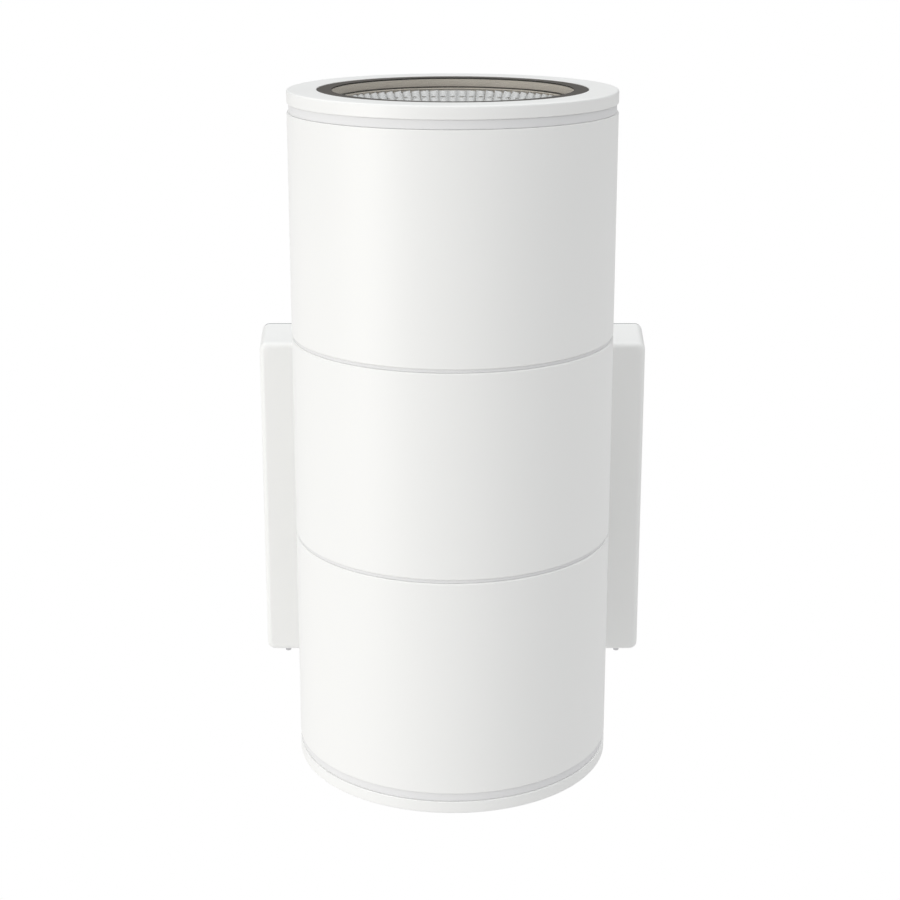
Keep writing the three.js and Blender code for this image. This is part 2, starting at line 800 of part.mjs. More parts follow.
function lead(side) {
  const x = side * leadHoleX;
  const middle = lampBottomZ + lampHeight / 2;
  const up = (depth) => middle + side * (lampHeight / 2 - depth);
  const riseY = lampAxisY + leadHoleY;
  const boxInnerY = plateFrontY - driverDepth / 2;
  const driverTop = driverZ + driverHeight / 2;
  const points = [
    [3 * x, boxInnerY, driverTop + restGap],
    [3 * x, boxInnerY, driverTop + 10],
    [2 * x, boxInnerY - 2, (driverTop + neckZ) / 2],
    [x, boxInnerY - 3, neckZ - 14],
    [x, boxInnerY - 9, neckZ - 3],
    [x, -boxDepth + 1, neckZ],
    [x, -boxDepth - 10, neckZ],
    [x, lampAxisY + boreRadius - padDepth - 4, neckZ],
    [x, (lampAxisY + boreRadius - padDepth + riseY) / 2 - 4, neckZ + side * 4],
    [x, riseY, neckZ + side * 18],
    [x, riseY, up(floorOuter + 8)],
    [x, riseY, up(floorInner - 8)],
    [x, riseY, up((floorInner + sinkTop) / 2)],
    [x, riseY, up(sinkTop + sinkBase)],
    [x, riseY, up(sinkTop)],
    [x, riseY - 1.2, up(sinkTop - 3)],
  ].map(([px, py, pz]) => new THREE.Vector3(px, py, pz));
  const path = new THREE.CatmullRomCurve3(points, false, "centripetal");
  const section = new THREE.Shape().absarc(0, 0, leadRadius, 0, 2 * Math.PI);
  const options = { steps: leadSteps, curveSegments: leadSides, extrudePath: path };
  return new THREE.ExtrudeGeometry(section, options);
}

// ---- The whole light ----

const light = new THREE.Group();
light.add(
  mesh("wall_plate", wallPlate(), "zincSteel"),
  mesh("box_gasket", boxGasket(), "greyFoam"),
  mesh("back_box", backBox(), "whitePaint"),
  mesh("cable_grommet", cableGrommet(), "blackSilicone"),
  mesh("terminal_block", terminalBlock(), "whitePlastic"),
  mesh("driver", driver(), "blackPlastic"),
  mesh("neck_seal", neckSeal(), "blackSilicone"),
  mesh("neck", neck(), "whitePaint"),
  mesh(
    "earth_screw",
    screwOut(earthScrew, earthScrew.length, earthX, -earthScrew.length - restGap, earthZ),
    "brass",
  ),
);

const driverSeatY = plateFrontY - 2 * restGap - driverEarThickness;
const driverScrewLength = -driverSeatY - restGap;
for (const [word, side] of [["left", -1], ["right", 1]]) {
  const earX = (side * (driverLength + driverEar)) / 2;
  const setScrew = boxScrewShape().translate(side * boxScrewX, boxScrewY, 0);
  const earScrew = screwOut(driverScrew, driverScrewLength, earX, driverSeatY, driverZ);
  light.add(
    mesh(`box_screw_${word}`, setScrew, "stainless"),
    mesh(`driver_screw_${word}`, earScrew, "stainless"),
  );
}
for (const [word, side] of [["lower", -1], ["upper", 1]]) {
  light.add(
    mesh(`neck_bolt_${word}`, neckBoltShape(side), "stainless"),
    mesh(`${word}_lead`, lead(side), "blackPlastic"),
  );
}

const cylinder = new THREE.Group();
cylinder.position.set(0, lampAxisY, lampBottomZ);
light.add(cylinder);

const upperHead = lampHead("upper");
upperHead.position.z = lampHeight;
const lowerHead = lampHead("lower");
lowerHead.rotation.y = Math.PI;
cylinder.add(mesh("middle_body", middleBody(), "whitePaint"), upperHead, lowerHead);

export default light;
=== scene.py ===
import json
import math

import bmesh
import bpy
from mathutils import Matrix, Vector


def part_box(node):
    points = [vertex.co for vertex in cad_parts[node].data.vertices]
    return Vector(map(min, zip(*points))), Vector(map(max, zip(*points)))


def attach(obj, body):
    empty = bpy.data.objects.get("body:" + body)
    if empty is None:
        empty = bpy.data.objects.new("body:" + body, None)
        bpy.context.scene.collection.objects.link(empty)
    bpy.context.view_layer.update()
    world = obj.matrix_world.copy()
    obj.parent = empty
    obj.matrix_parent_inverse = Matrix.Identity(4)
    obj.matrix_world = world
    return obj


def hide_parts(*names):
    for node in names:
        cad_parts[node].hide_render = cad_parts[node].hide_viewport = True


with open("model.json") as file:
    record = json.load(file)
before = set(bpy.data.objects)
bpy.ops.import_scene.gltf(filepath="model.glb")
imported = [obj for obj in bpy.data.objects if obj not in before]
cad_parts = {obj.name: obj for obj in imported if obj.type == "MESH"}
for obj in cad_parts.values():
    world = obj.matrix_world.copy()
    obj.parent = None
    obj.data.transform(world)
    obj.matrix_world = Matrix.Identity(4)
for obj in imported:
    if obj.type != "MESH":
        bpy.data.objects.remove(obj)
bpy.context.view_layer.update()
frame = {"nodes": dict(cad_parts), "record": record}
print("frame loaded:", len(frame["nodes"]), "nodes")

mm = 0.001
ringLow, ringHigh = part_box("upper_glass_ring")
lampAxisY = (ringLow.y + ringHigh.y) / 2 / mm
lampTopZ = ringHigh.z / mm
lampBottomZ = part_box("lower_glass_ring")[0].z / mm


def spanOf(node):
    # an upper head's node: its radius, and its top and bottom as depths below the end face
    low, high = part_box(node)
    return (high.x - low.x) / 2 / mm, lampTopZ - high.z / mm, lampTopZ - low.z / mm


def addNode(tree, kind, **settings):
    node = tree.nodes.new(kind)
    for key, value in settings.items():
        setattr(node, key, value)
    return node


# rough is the middle of a finish's roughness; grain or spangle is its fine pattern's scale,
# drift is how far its colour wanders, and clear is how much shines through
finishLooks = {
    "whitePaint": dict(color=(0.87, 0.87, 0.86), rough=0.42, grain=1500, bump=0.035, drift=0.012),
    "zincSteel": dict(color=(0.62, 0.63, 0.65), rough=0.36, metal=1.0, spangle=170, bump=0.05, drift=0.1),
    "stainless": dict(color=(0.60, 0.60, 0.61), rough=0.30, metal=1.0, grain=2600, bump=0.05, drift=0.05),
    "brass": dict(color=(0.72, 0.53, 0.26), rough=0.30, metal=1.0, grain=2200, bump=0.05, drift=0.06),
    "bareAluminium": dict(color=(0.75, 0.76, 0.77), rough=0.38, metal=1.0, grain=900, stretch=(1, 1, 14),
                          bump=0.08, drift=0.06),
    "mirrorAluminium": dict(color=(0.87, 0.87, 0.865), rough=0.19, metal=1.0, grain=500, bump=0.01,
                            drift=0.02),
    "champagne": dict(color=(0.80, 0.73, 0.64), rough=0.45, grain=1600, bump=0.03, drift=0.03),
    "blackSilicone": dict(color=(0.045, 0.038, 0.030), rough=0.62, grain=1200, bump=0.06, drift=0.1),
    "greyFoam": dict(color=(0.20, 0.21, 0.22), rough=0.92, spangle=1400, bump=0.5, drift=0.2),
    "blackPlastic": dict(color=(0.03, 0.03, 0.035), rough=0.5, grain=1800, bump=0.15, drift=0.08),
    "leadSheath": dict(color=(0.04, 0.04, 0.04), rough=0.55, grain=700, bump=0.04, drift=0.08),
    "terminalPlastic": dict(color=(0.82, 0.80, 0.74), rough=0.40, grain=900, bump=0.05, drift=0.03),
    "holderPlastic": dict(color=(0.86, 0.85, 0.82), rough=0.42, grain=1200, bump=0.06, drift=0.02),
    "ceramic": dict(color=(0.88, 0.88, 0.85), rough=0.35, grain=3000, bump=0.05, drift=0.02),
    "phosphor": dict(color=(0.86, 0.66, 0.16), rough=0.55, spangle=1500, bump=0.2, drift=0.12),
    "thermalPad": dict(color=(0.33, 0.41, 0.50), rough=0.85, grain=1600, bump=0.2, drift=0.1),
    "greySilicone": dict(color=(0.79, 0.79, 0.795), rough=0.60, grain=1300, bump=0.05, drift=0.02),
    "clearGlass": dict(color=(0.10, 0.12, 0.11), rough=0.03, clear=0.90, grain=60, bump=0.004, drift=0.1),
}


driftScale = 22  # of the slow drift in colour and gloss, per metre


def makeFinish(name, look):
    made = bpy.data.materials.new(name)
    made.use_nodes = True
    tree = made.node_tree
    shader = tree.nodes["Principled BSDF"]
    place = addNode(tree, "ShaderNodeTexCoord")
    mapping = addNode(tree, "ShaderNodeMapping")
    mapping.inputs["Scale"].default_value = look.get("stretch", (1, 1, 1))
    tree.links.new(place.outputs["Object"], mapping.inputs["Vector"])
    if "spangle" in look:
        texture = addNode(tree, "ShaderNodeTexVoronoi", feature="F1")
        texture.inputs["Scale"].default_value = look["spangle"]
        tree.links.new(mapping.outputs["Vector"], texture.inputs["Vector"])
        height, spread = texture.outputs["Distance"], texture.outputs["Color"]
    else:
        texture = addNode(tree, "ShaderNodeTexNoise")
        texture.inputs["Scale"].default_value = look["grain"]
        texture.inputs["Detail"].default_value = 2.0
        tree.links.new(mapping.outputs["Vector"], texture.inputs["Vector"])
        height, spread = texture.outputs["Fac"], texture.outputs["Fac"]
    wide = addNode(tree, "ShaderNodeTexNoise")
    wide.inputs["Scale"].default_value = driftScale
    wide.inputs["Detail"].default_value = 3.0
    tree.links.new(place.outputs["Object"], wide.inputs["Vector"])
    tint = addNode(tree, "ShaderNodeMix", data_type="RGBA", blend_type="MIX")
    color, drift = look["color"], look["drift"]
    tint.inputs["A"].default_value = (*[c * (1 - drift) for c in color], 1)
    tint.inputs["B"].default_value = (*[min(1, c * (1 + drift)) for c in color], 1)
    blend = addNode(tree, "ShaderNodeMix", data_type="FLOAT")
    blend.inputs["Factor"].default_value = 0.5
    tree.links.new(wide.outputs["Fac"], blend.inputs["A"])
    tree.links.new(spread, blend.inputs["B"])
    tree.links.new(blend.outputs["Result"], tint.inputs["Factor"])
    tree.links.new(tint.outputs["Result"], shader.inputs["Base Color"])
    gloss = addNode(tree, "ShaderNodeMapRange")
    gloss.inputs["To Min"].default_value = look["rough"] * 0.88
    gloss.inputs["To Max"].default_value = min(1, look["rough"] * 1.12)
    tree.links.new(blend.outputs["Result"], gloss.inputs["Value"])
    tree.links.new(gloss.outputs["Result"], shader.inputs["Roughness"])
    bump = addNode(tree, "ShaderNodeBump")
    bump.inputs["Strength"].default_value = look["bump"]
    bump.inputs["Distance"].default_value = 0.0004
    tree.links.new(height, bump.inputs["Height"])
    tree.links.new(bump.outputs["Normal"], shader.inputs["Normal"])
    shader.inputs["Metallic"].default_value = look.get("metal", 0.0)
    shader.inputs["Alpha"].default_value = 1 - look.get("clear", 0)
    return made


finishes = {name: makeFinish(name, look) for name, look in finishLooks.items()}
print("finishes made:", len(finishes))


def rounded(corners, parts=5):
    # [(x, y, fillet radius)] -> outline with each corner turned into an arc
    made = []
    for i, (x, y, radius) in enumerate(corners):
        here = Vector((x, y))
        if radius <= 0:
            made.append((x, y))
            continue
        before = Vector(corners[i - 1][:2]) - here
        after = Vector(corners[(i + 1) % len(corners)][:2]) - here
        room = 0.49 * min(before.length, after.length)
        before.normalize()
        after.normalize()
        half = before.angle(after) / 2
        reach = min(radius / math.tan(half), room)
        radius = reach * math.tan(half)
        centre = here + (before + after).normalized() * (radius / math.sin(half))
        start = here + before * reach - centre
        sweep = (math.pi - 2 * half) * (1 if before.cross(after) < 0 else -1)
        for k in range(parts + 1):
            turn = sweep * k / parts
            made.append((centre.x + start.x * math.cos(turn) - start.y * math.sin(turn),
                         centre.y + start.x * math.sin(turn) + start.y * math.cos(turn)))
    return made


def supported(outline, gap=0.35):
    # two more points near the ends of each long straight, so that flats stay flat when smoothed
    made = []
    for i, here in enumerate(outline):
        there = outline[(i + 1) % len(outline)]
        made.append(here)
        length = math.dist(here, there)
        if length > 4 * gap:
            for share in (gap / length, 1 - gap / length):
                made.append((here[0] + (there[0] - here[0]) * share,
                             here[1] + (there[1] - here[1]) * share))
    return made


def meshFrom(name, points, faces):
    mesh = bpy.data.meshes.new(name)
    mesh.from_pydata([Vector(p) * mm for p in points], [], faces)
    return mesh


flatSharp = 20  # keeps a flat face flat beside a small rounding, in degrees


def finished(mesh, finish, sharp=32):
    work = bmesh.new()
    work.from_mesh(mesh)
    bmesh.ops.remove_doubles(work, verts=work.verts, dist=2e-6)
    bmesh.ops.dissolve_degenerate(work, dist=1e-7, edges=work.edges)
    bmesh.ops.recalc_face_normals(work, faces=work.faces)
    work.to_mesh(mesh)
    work.free()
    mesh.shade_smooth()
    mesh.set_sharp_from_angle(angle=math.radians(sharp))
    mesh.materials.clear()
    mesh.materials.append(finishes[finish])
    return mesh


def turned(name, outline, steps=224):
    # [(radius, height)] closed outline turned about Z
    points, faces = [], []
    count = len(outline)
    for s in range(steps):
        angle = 2 * math.pi * s / steps
        c, q = math.cos(angle), math.sin(angle)
        points += [(r * c, r * q, z) for r, z in outline]
    for s in range(steps):
        here, there = s * count, (s + 1) % steps * count
        for i in range(count):
            j = (i + 1) % count
            if outline[i][0] < 1e-6 and outline[j][0] < 1e-6:
                continue
            faces.append((here + i, there + i, there + j, here + j))
    return meshFrom(name, points, faces)


def joined(name, meshes):
    work = bmesh.new()
    for mesh in meshes:
        work.from_mesh(mesh)
    made = bpy.data.meshes.new(name)
    work.to_mesh(made)
    work.free()
    return made


def moved(mesh, matrix):
    mesh.transform(matrix)
    if matrix.determinant() < 0:
        mesh.flip_normals()
    return mesh


def headPlace(head):
    # from a head built with its end face at Z = 0 to its place on the light
    if head == "upper":
        return Matrix.Translation((0, lampAxisY * mm, lampTopZ * mm))
    return Matrix.Translation((0, lampAxisY * mm, lampBottomZ * mm)) @ Matrix.Rotation(math.pi, 4, "Y")


def piece(name, mesh, body, slot, *nodes):
    obj = bpy.data.objects.new(name, mesh)
    bpy.context.scene.collection.objects.link(obj)
    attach(obj, body)
    if nodes:
        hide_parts(*nodes)
    return obj


def evaluated(obj, name):
    # the object's mesh with its modifiers applied, as a plain mesh
    graph = bpy.context.evaluated_depsgraph_get()
    mesh = bpy.data.meshes.new_from_object(obj.evaluated_get(graph))
    mesh.name = name
    return mesh


def tempObject(mesh):
    obj = bpy.data.objects.new("work", mesh)
    bpy.context.scene.collection.objects.link(obj)
    return obj


def carved(mesh, cutters, operation="DIFFERENCE"):
    body, tool = tempObject(mesh), tempObject(joined("cutters", cutters))
    change = body.modifiers.new("carve", "BOOLEAN")
    change.operation = operation
    change.solver = "EXACT"
    change.use_self = len(cutters) > 1
    change.object = tool
    bpy.context.view_layer.update()
    made = evaluated(body, mesh.name)
    for obj in (body, tool):
        bpy.data.objects.remove(obj)
    return made


def rod(radius, low, high, steps=48):
    return turned("rod", [(0, low), (radius, low), (radius, high), (0, high)], steps)


def rodOut(radius, nearY, farY, x, z, steps=48):
    # a rod along Y
    turn = Matrix.Translation(Vector((x, 0, z)) * mm) @ Matrix.Rotation(math.pi / 2, 4, "X")
    return moved(rod(radius, -nearY, -farY, steps), turn)


def outlineMesh(name, outline, holes, nearY, farY, edge=0.15):
    # a flat outline in X and Z with holes, as a sheet between two distances from the wall
    curve = bpy.data.curves.new(name, "CURVE")
    curve.dimensions = "2D"
    curve.fill_mode = "BOTH"
    curve.extrude = abs(farY - nearY) / 2 * mm - edge * mm
    curve.bevel_depth = edge * mm
    curve.bevel_resolution = 1
    curve.offset = -edge * mm
    for path in [outline, *holes]:
        spline = curve.splines.new("POLY")
        spline.points.add(len(path) - 1)
        spline.use_cyclic_u = True
        for point, (x, z) in zip(spline.points, path):
            point.co = (x * mm, z * mm, 0, 1)
    obj = bpy.data.objects.new("work", curve)
    bpy.context.scene.collection.objects.link(obj)
    mesh = evaluated(obj, name)
    bpy.data.objects.remove(obj)
    turn = Matrix.Translation((0, (nearY + farY) / 2 * mm, 0)) @ Matrix.Rotation(math.pi / 2, 4, "X")
    return moved(mesh, turn)


def roundedBox(width, height, corner, x=0, z=0, parts=8):
    w, h = width / 2, height / 2
    return [(x + px, z + pz) for px, pz in rounded(
        [(w, h, corner), (-w, h, corner), (-w, -h, corner), (w, -h, corner)], parts)]


def circle(radius, x=0, z=0, steps=40):
    return [(x + radius * math.cos(2 * math.pi * k / steps), z + radius * math.sin(2 * math.pi * k / steps))
            for k in range(steps)]


def newTree(name, sockets):
    tree = bpy.data.node_groups.new(name, "GeometryNodeTree")
    ids = {}
    for label, kind in sockets:
        ids[label] = tree.interface.new_socket(label, in_out="INPUT", socket_type=kind).identifier
    tree.interface.new_socket("Geometry", in_out="OUTPUT", socket_type="NodeSocketGeometry")
    return tree, ids, addNode(tree, "NodeGroupInput"), addNode(tree, "NodeGroupOutput")


def mathOf(tree, operation, *values):
    node = addNode(tree, "ShaderNodeMath", operation=operation)
    for socket, value in zip(node.inputs, values):
        if isinstance(value, (int, float)):
            socket.default_value = value
        else:
            tree.links.new(value, socket)
    return node.outputs[0]


def grown(name, treeAndIds, values):
    # runs a tree on an empty mesh and returns what it makes
    tree, ids = treeAndIds
    obj = tempObject(bpy.data.meshes.new("seedMesh"))
    change = obj.modifiers.new("grow", "NODES")
    change.node_group = tree
    for label, value in values.items():
        change[ids[label]] = value
    bpy.context.view_layer.update()
    mesh = evaluated(obj, name)
    obj.modifiers.remove(change)
    bpy.data.objects.remove(obj)
    return mesh


def copiesTree():
    # copies of one shape, turned about Z
    tree, ids, given, out = newTree("copiesRoundAxis", [
        ("Shape", "NodeSocketObject"), ("Count", "NodeSocketInt"), ("Radius", "NodeSocketFloat"),
        ("First Angle", "NodeSocketFloat"), ("Finish", "NodeSocketMaterial")])
    link = tree.links.new
    source = addNode(tree, "GeometryNodeObjectInfo")
    link(given.outputs["Shape"], source.inputs["Object"])
    outward = addNode(tree, "ShaderNodeCombineXYZ")
    link(given.outputs["Radius"], outward.inputs["X"])
    shift = addNode(tree, "GeometryNodeTransform")
    link(source.outputs["Geometry"], shift.inputs["Geometry"])
    link(outward.outputs["Vector"], shift.inputs["Translation"])
    line = addNode(tree, "GeometryNodeMeshLine")
    link(given.outputs["Count"], line.inputs["Count"])
    line.inputs["Offset"].default_value = (0, 0, 0)
    index = addNode(tree, "GeometryNodeInputIndex")
    step = mathOf(tree, "DIVIDE", 2 * math.pi, given.outputs["Count"])
    turn = mathOf(tree, "MULTIPLY_ADD", index.outputs["Index"], step, given.outputs["First Angle"])
    about = addNode(tree, "ShaderNodeCombineXYZ")
    link(turn, about.inputs["Z"])
    spread = addNode(tree, "GeometryNodeInstanceOnPoints")
    link(line.outputs["Mesh"], spread.inputs["Points"])
    link(shift.outputs["Geometry"], spread.inputs["Instance"])
    link(about.outputs["Vector"], spread.inputs["Rotation"])
    real = addNode(tree, "GeometryNodeRealizeInstances")
    link(spread.outputs["Instances"], real.inputs["Geometry"])
    paint = addNode(tree, "GeometryNodeSetMaterial")
    link(real.outputs["Geometry"], paint.inputs["Geometry"])
    link(given.outputs["Finish"], paint.inputs["Material"])
    link(paint.outputs["Geometry"], out.inputs["Geometry"])
    return tree, ids


def threadTree():
    # a round ridge that winds along Z
    tree, ids, given, out = newTree("threadRidge", [
        ("Radius", "NodeSocketFloat"), ("Pitch", "NodeSocketFloat"), ("Turns", "NodeSocketFloat"),
        ("Ridge", "NodeSocketFloat"), ("Steps", "NodeSocketInt"), ("Finish", "NodeSocketMaterial")])
    link = tree.links.new
    spiral = addNode(tree, "GeometryNodeCurveSpiral")
    link(given.outputs["Steps"], spiral.inputs["Resolution"])
    spiral.inputs["Reverse"].default_value = True
    link(given.outputs["Turns"], spiral.inputs["Rotations"])
    link(given.outputs["Radius"], spiral.inputs["Start Radius"])
    link(given.outputs["Radius"], spiral.inputs["End Radius"])
    link(mathOf(tree, "MULTIPLY", given.outputs["Pitch"], given.outputs["Turns"]), spiral.inputs["Height"])
    section = addNode(tree, "GeometryNodeCurvePrimitiveCircle")
    section.inputs["Resolution"].default_value = 10
    link(given.outputs["Ridge"], section.inputs["Radius"])
    sweep = addNode(tree, "GeometryNodeCurveToMesh")
    sweep.inputs["Fill Caps"].default_value = True
    link(spiral.outputs["Curve"], sweep.inputs["Curve"])
    link(section.outputs["Curve"], sweep.inputs["Profile Curve"])
    real = addNode(tree, "GeometryNodeRealizeInstances")
    link(sweep.outputs["Mesh"], real.inputs["Geometry"])
    paint = addNode(tree, "GeometryNodeSetMaterial")
    link(real.outputs["Geometry"], paint.inputs["Geometry"])
    link(given.outputs["Finish"], paint.inputs["Material"])
    link(paint.outputs["Geometry"], out.inputs["Geometry"])
    return tree, ids


copies = copiesTree()
threads = threadTree()


def copiesOf(name, shape, count, radius, firstAngle, finish):
    source = tempObject(shape)
    mesh = grown(name, copies, {"Shape": source, "Count": count, "Radius": radius * mm,
                                "First Angle": firstAngle, "Finish": finishes[finish]})
    bpy.data.objects.remove(source)
    return mesh


def ridgeOf(radius, pitch, turns, ridge, steps, finish):
    return grown("ridge", threads, {"Radius": radius * mm, "Pitch": pitch * mm, "Turns": turns,
                                    "Ridge": ridge * mm, "Steps": steps, "Finish": finishes[finish]})


def lowered(mesh, depth):
    return moved(mesh, Matrix.Translation((0, 0, -depth * mm)))


# socket screws: shank radius, head radius, head height, pitch, width of the socket's flats
tieScrew = {"shank": 2.5, "head": 4.2, "headHeight": 4, "pitch": 0.8, "flats": 4}
sinkScrew = {"shank": 2, "head": 3.5, "headHeight": 3, "pitch": 0.7, "flats": 3}
neckBolt = {"shank": 3, "head": 5, "headHeight": 5, "pitch": 1.0, "flats": 5}
driverScrew = {"shank": 1.5, "head": 2.8, "headHeight": 2, "pitch": 0.5, "flats": 2}
earthScrew = {"shank": 2, "head": 4, "headHeight": 3, "pitch": 0.7, "flats": 3}


def screwMesh(size, length, finish="stainless"):
    # its head stands on Z = 0 and its shank points down
    core, ridge = size["shank"] - 0.3 * size["pitch"], 0.28 * size["pitch"]
    top, head = size["headHeight"], size["head"]
    plain = min(1.5 * size["shank"], length / 3)
    body = finished(turned("screw", rounded([
        (0, top, 0), (head, top, 0.12 * head), (head, 0, 0.06 * head), (size["shank"], 0, 0),
        (size["shank"], -plain, 0.2), (core, -plain - 0.3, 0), (core, -length + 0.5, 0),
        (core - 0.5, -length, 0), (0, -length, 0)], 3), 32), finish)
    socket = rod(size["flats"] / math.sqrt(3), 0.45 * top, top + 1, 6)
    body = carved(body, [socket])
    turns = (length - plain - 1.5 * size["pitch"] - 0.5) / size["pitch"]
    thread = lowered(ridgeOf(core, size["pitch"], turns, ridge, 20, finish), length - 0.5 - ridge)
    return finished(joined("screw", [body, thread]), finish)


# the cylinder's castings and the screws that tie them
bodySizes = {"bore": 70, "seamChamfer": 0.5, "grooveEdge": 0.35, "floor": 5, "tieHole": 2.8,
             "tieCircle": 64.8, "sinkHole": 2.3, "sinkHoleX": 12, "leadHole": 3.2, "leadHoleAt": (4, 32),
             "boss": 6.5, "padWidth": 48, "padHeight": 60, "padDepth": 10, "neckBoltReach": 20,
             "neckBoltHole": 3.3, "wireDuct": 9}

tieAngles = [-math.pi / 2 + k * 2 * math.pi / 3 for k in range(3)]
neckLow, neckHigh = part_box("neck")
neckZ = (neckLow.z + neckHigh.z) / 2 / mm
neckBoltZ = [neckZ + side * bodySizes["neckBoltReach"] for side in (-1, 1)]


def across(x, y, z=0):
    return Matrix.Translation(Vector((x, y, z)) * mm)


toAxis = across(0, lampAxisY)


def atAngle(mesh, radius, angle):
    return moved(mesh, across(radius * math.cos(angle), radius * math.sin(angle)))


def neckHoles(nearY, farY):
    # the wire duct and the two bolt holes, along Y
    s = bodySizes
    return [rodOut(s["wireDuct"], nearY, farY, 0, neckZ)] + [
        rodOut(s["neckBoltHole"], nearY, farY, 0, z) for z in neckBoltZ]


def makeHousing(head):
    s = bodySizes
    radius, top, bottom = spanOf("upper_housing")
    floorIn = bottom - s["floor"]
    outline = supported(rounded([
        (0, -floorIn, 0), (s["bore"], -floorIn, 1.5), (s["bore"], -top, 0.3),
        (radius, -top, s["grooveEdge"]), (radius, -(bottom - s["seamChamfer"]), 0.2),
        (radius - s["seamChamfer"], -bottom, 0.15), (0, -bottom, 0)]))
    low, high = -bottom - 1, -floorIn + 1
    holes = [atAngle(rod(s["tieHole"], low, high), s["tieCircle"], a) for a in tieAngles]
    holes += [atAngle(rod(s["sinkHole"], low, high), s["sinkHoleX"], a) for a in (0, math.pi)]
    x, y = s["leadHoleAt"]
    holes.append(moved(rod(s["leadHole"], low, high), across(x, y)))
    mesh = carved(finished(turned("housing", outline), "whitePaint"), holes)
    mesh = moved(finished(mesh, "whitePaint"), headPlace(head))
    piece(f"{head}HousingCasting", mesh, "fixture", "white_paint", f"{head}_housing")


def makeScrewsOfHead(head):
    s = bodySizes
    _, tieTop, tieEnd = spanOf("upper_tie_screw_1")
    shape = screwMesh(tieScrew, tieEnd - tieTop - tieScrew["headHeight"])
    mesh = copiesOf("tieScrews", shape, 3, s["tieCircle"], tieAngles[0], "stainless")
    mesh = finished(lowered(mesh, tieTop + tieScrew["headHeight"]), "stainless")
    piece(f"{head}TieScrews", moved(mesh, headPlace(head)), "fixture", "stainless",
          *[f"{head}_tie_screw_{k}" for k in (1, 2, 3)])
    _, sinkTop, sinkEnd = spanOf("upper_sink_screw_1")
    shape = screwMesh(sinkScrew, sinkEnd - sinkTop - sinkScrew["headHeight"])
    shape = moved(shape, Matrix.Rotation(math.pi, 4, "X"))
    mesh = copiesOf("sinkScrews", shape, 2, s["sinkHoleX"], 0, "stainless")
    mesh = finished(lowered(mesh, sinkEnd - sinkScrew["headHeight"]), "stainless")
    piece(f"{head}SinkScrews", moved(mesh, headPlace(head)), "fixture", "stainless",
          *[f"{head}_sink_screw_{k}" for k in (1, 2)])


def makeMiddle():
    s = bodySizes
    boxLow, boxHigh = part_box("middle_body")
    radius, low, high = (boxHigh.x - boxLow.x) / 2 / mm, boxLow.z / mm, boxHigh.z / mm
    inset = radius - s["seamChamfer"]
    outline = supported(rounded([
        (s["bore"], low, 0.3), (inset, low, 0.15), (radius, low + s["seamChamfer"], 0.2),
        (radius, high - s["seamChamfer"], 0.2), (inset, high, 0.15), (s["bore"], high, 0.3)]))
    tube = moved(finished(turned("middle", outline), "whitePaint"), toAxis)
    wallY = lampAxisY + s["bore"]
    pad = outlineMesh("pad", roundedBox(s["padWidth"], s["padHeight"], 3, 0, neckZ), [],
                      wallY + 2, wallY - s["padDepth"], 0.6)
    inside = moved(rod(s["bore"] + 2, low, high, 160), toAxis)
    pad = carved(finished(pad, "whitePaint"), [inside], "INTERSECT")
    bosses = [moved(atAngle(rod(s["boss"], low + 0.02, high - 0.02), s["tieCircle"], a), toAxis)
              for a in tieAngles]
    tube = carved(finished(tube, "whitePaint"), [pad, *bosses], "UNION")
    holes = neckHoles(wallY - 20, wallY + 20)
    holes += [moved(atAngle(rod(s["tieHole"], low - 1, high + 1), s["tieCircle"], a), toAxis)
              for a in tieAngles]
    mesh = carved(tube, holes)
    piece("middleCasting", finished(mesh, "whitePaint"), "fixture", "white_paint", "middle_body")


for head in ("upper", "lower"):
    makeHousing(head)
    makeScrewsOfHead(head)
makeMiddle()
print("cylinder made")


# the screwed ring, with the glass, its seat and its seals
ringSizes = {"face": 61.5, "faceEdge": 0.3, "edge": 0.9, "skirt": 68.7, "skirtIn": 65.1, "ledge": 56.7,
             "ledgeThickness": 2.4, "pitch": 3.0, "turns": 2.0, "ridge": 0.85, "lead": 2.0}


def makeRing(head):
    s = ringSizes
    radius, top, skirtEnd = spanOf("upper_glass_ring")
    shoulder = spanOf("upper_ring_gasket")[1] - 0.2
    ledgeTop = spanOf("upper_glass_seat")[2] + 0.2
    ledgeEnd = ledgeTop + s["ledgeThickness"]
    outline = supported(rounded([
        (s["face"], -top, s["faceEdge"]), (radius, -top, s["edge"]), (radius, -shoulder, 0.35),
        (s["skirt"], -shoulder, 0), (s["skirt"], -skirtEnd, 0.6), (s["skirtIn"], -skirtEnd, 0.3),
        (s["skirtIn"], -ledgeEnd, 0), (s["ledge"], -ledgeEnd, 0.3), (s["ledge"], -ledgeTop, 0.3),
        (s["face"], -ledgeTop, 0)]), 0.25)
    thread = ridgeOf(s["skirt"], s["pitch"], s["turns"], s["ridge"], 96, "whitePaint")
    mesh = joined("ring", [turned("ring", outline), lowered(thread, skirtEnd - s["lead"])])
    mesh = moved(finished(mesh, "whitePaint"), headPlace(head))
    piece(f"{head}GlassRing", mesh, f"{head}_ring", "white_paint", f"{head}_glass_ring")


def flatRing(name, inner, node, grow, edge, finish):
    # a ring of square section, with its faces let out towards its neighbours by grow
    outer, top, bottom = spanOf(node)
    top, bottom = top - grow, bottom + grow
    outline = supported(rounded([
        (inner, -top, edge / 2), (outer, -top, edge), (outer, -bottom, edge),
        (inner, -bottom, edge / 2)], 4))
    return finished(turned(name, outline), finish)


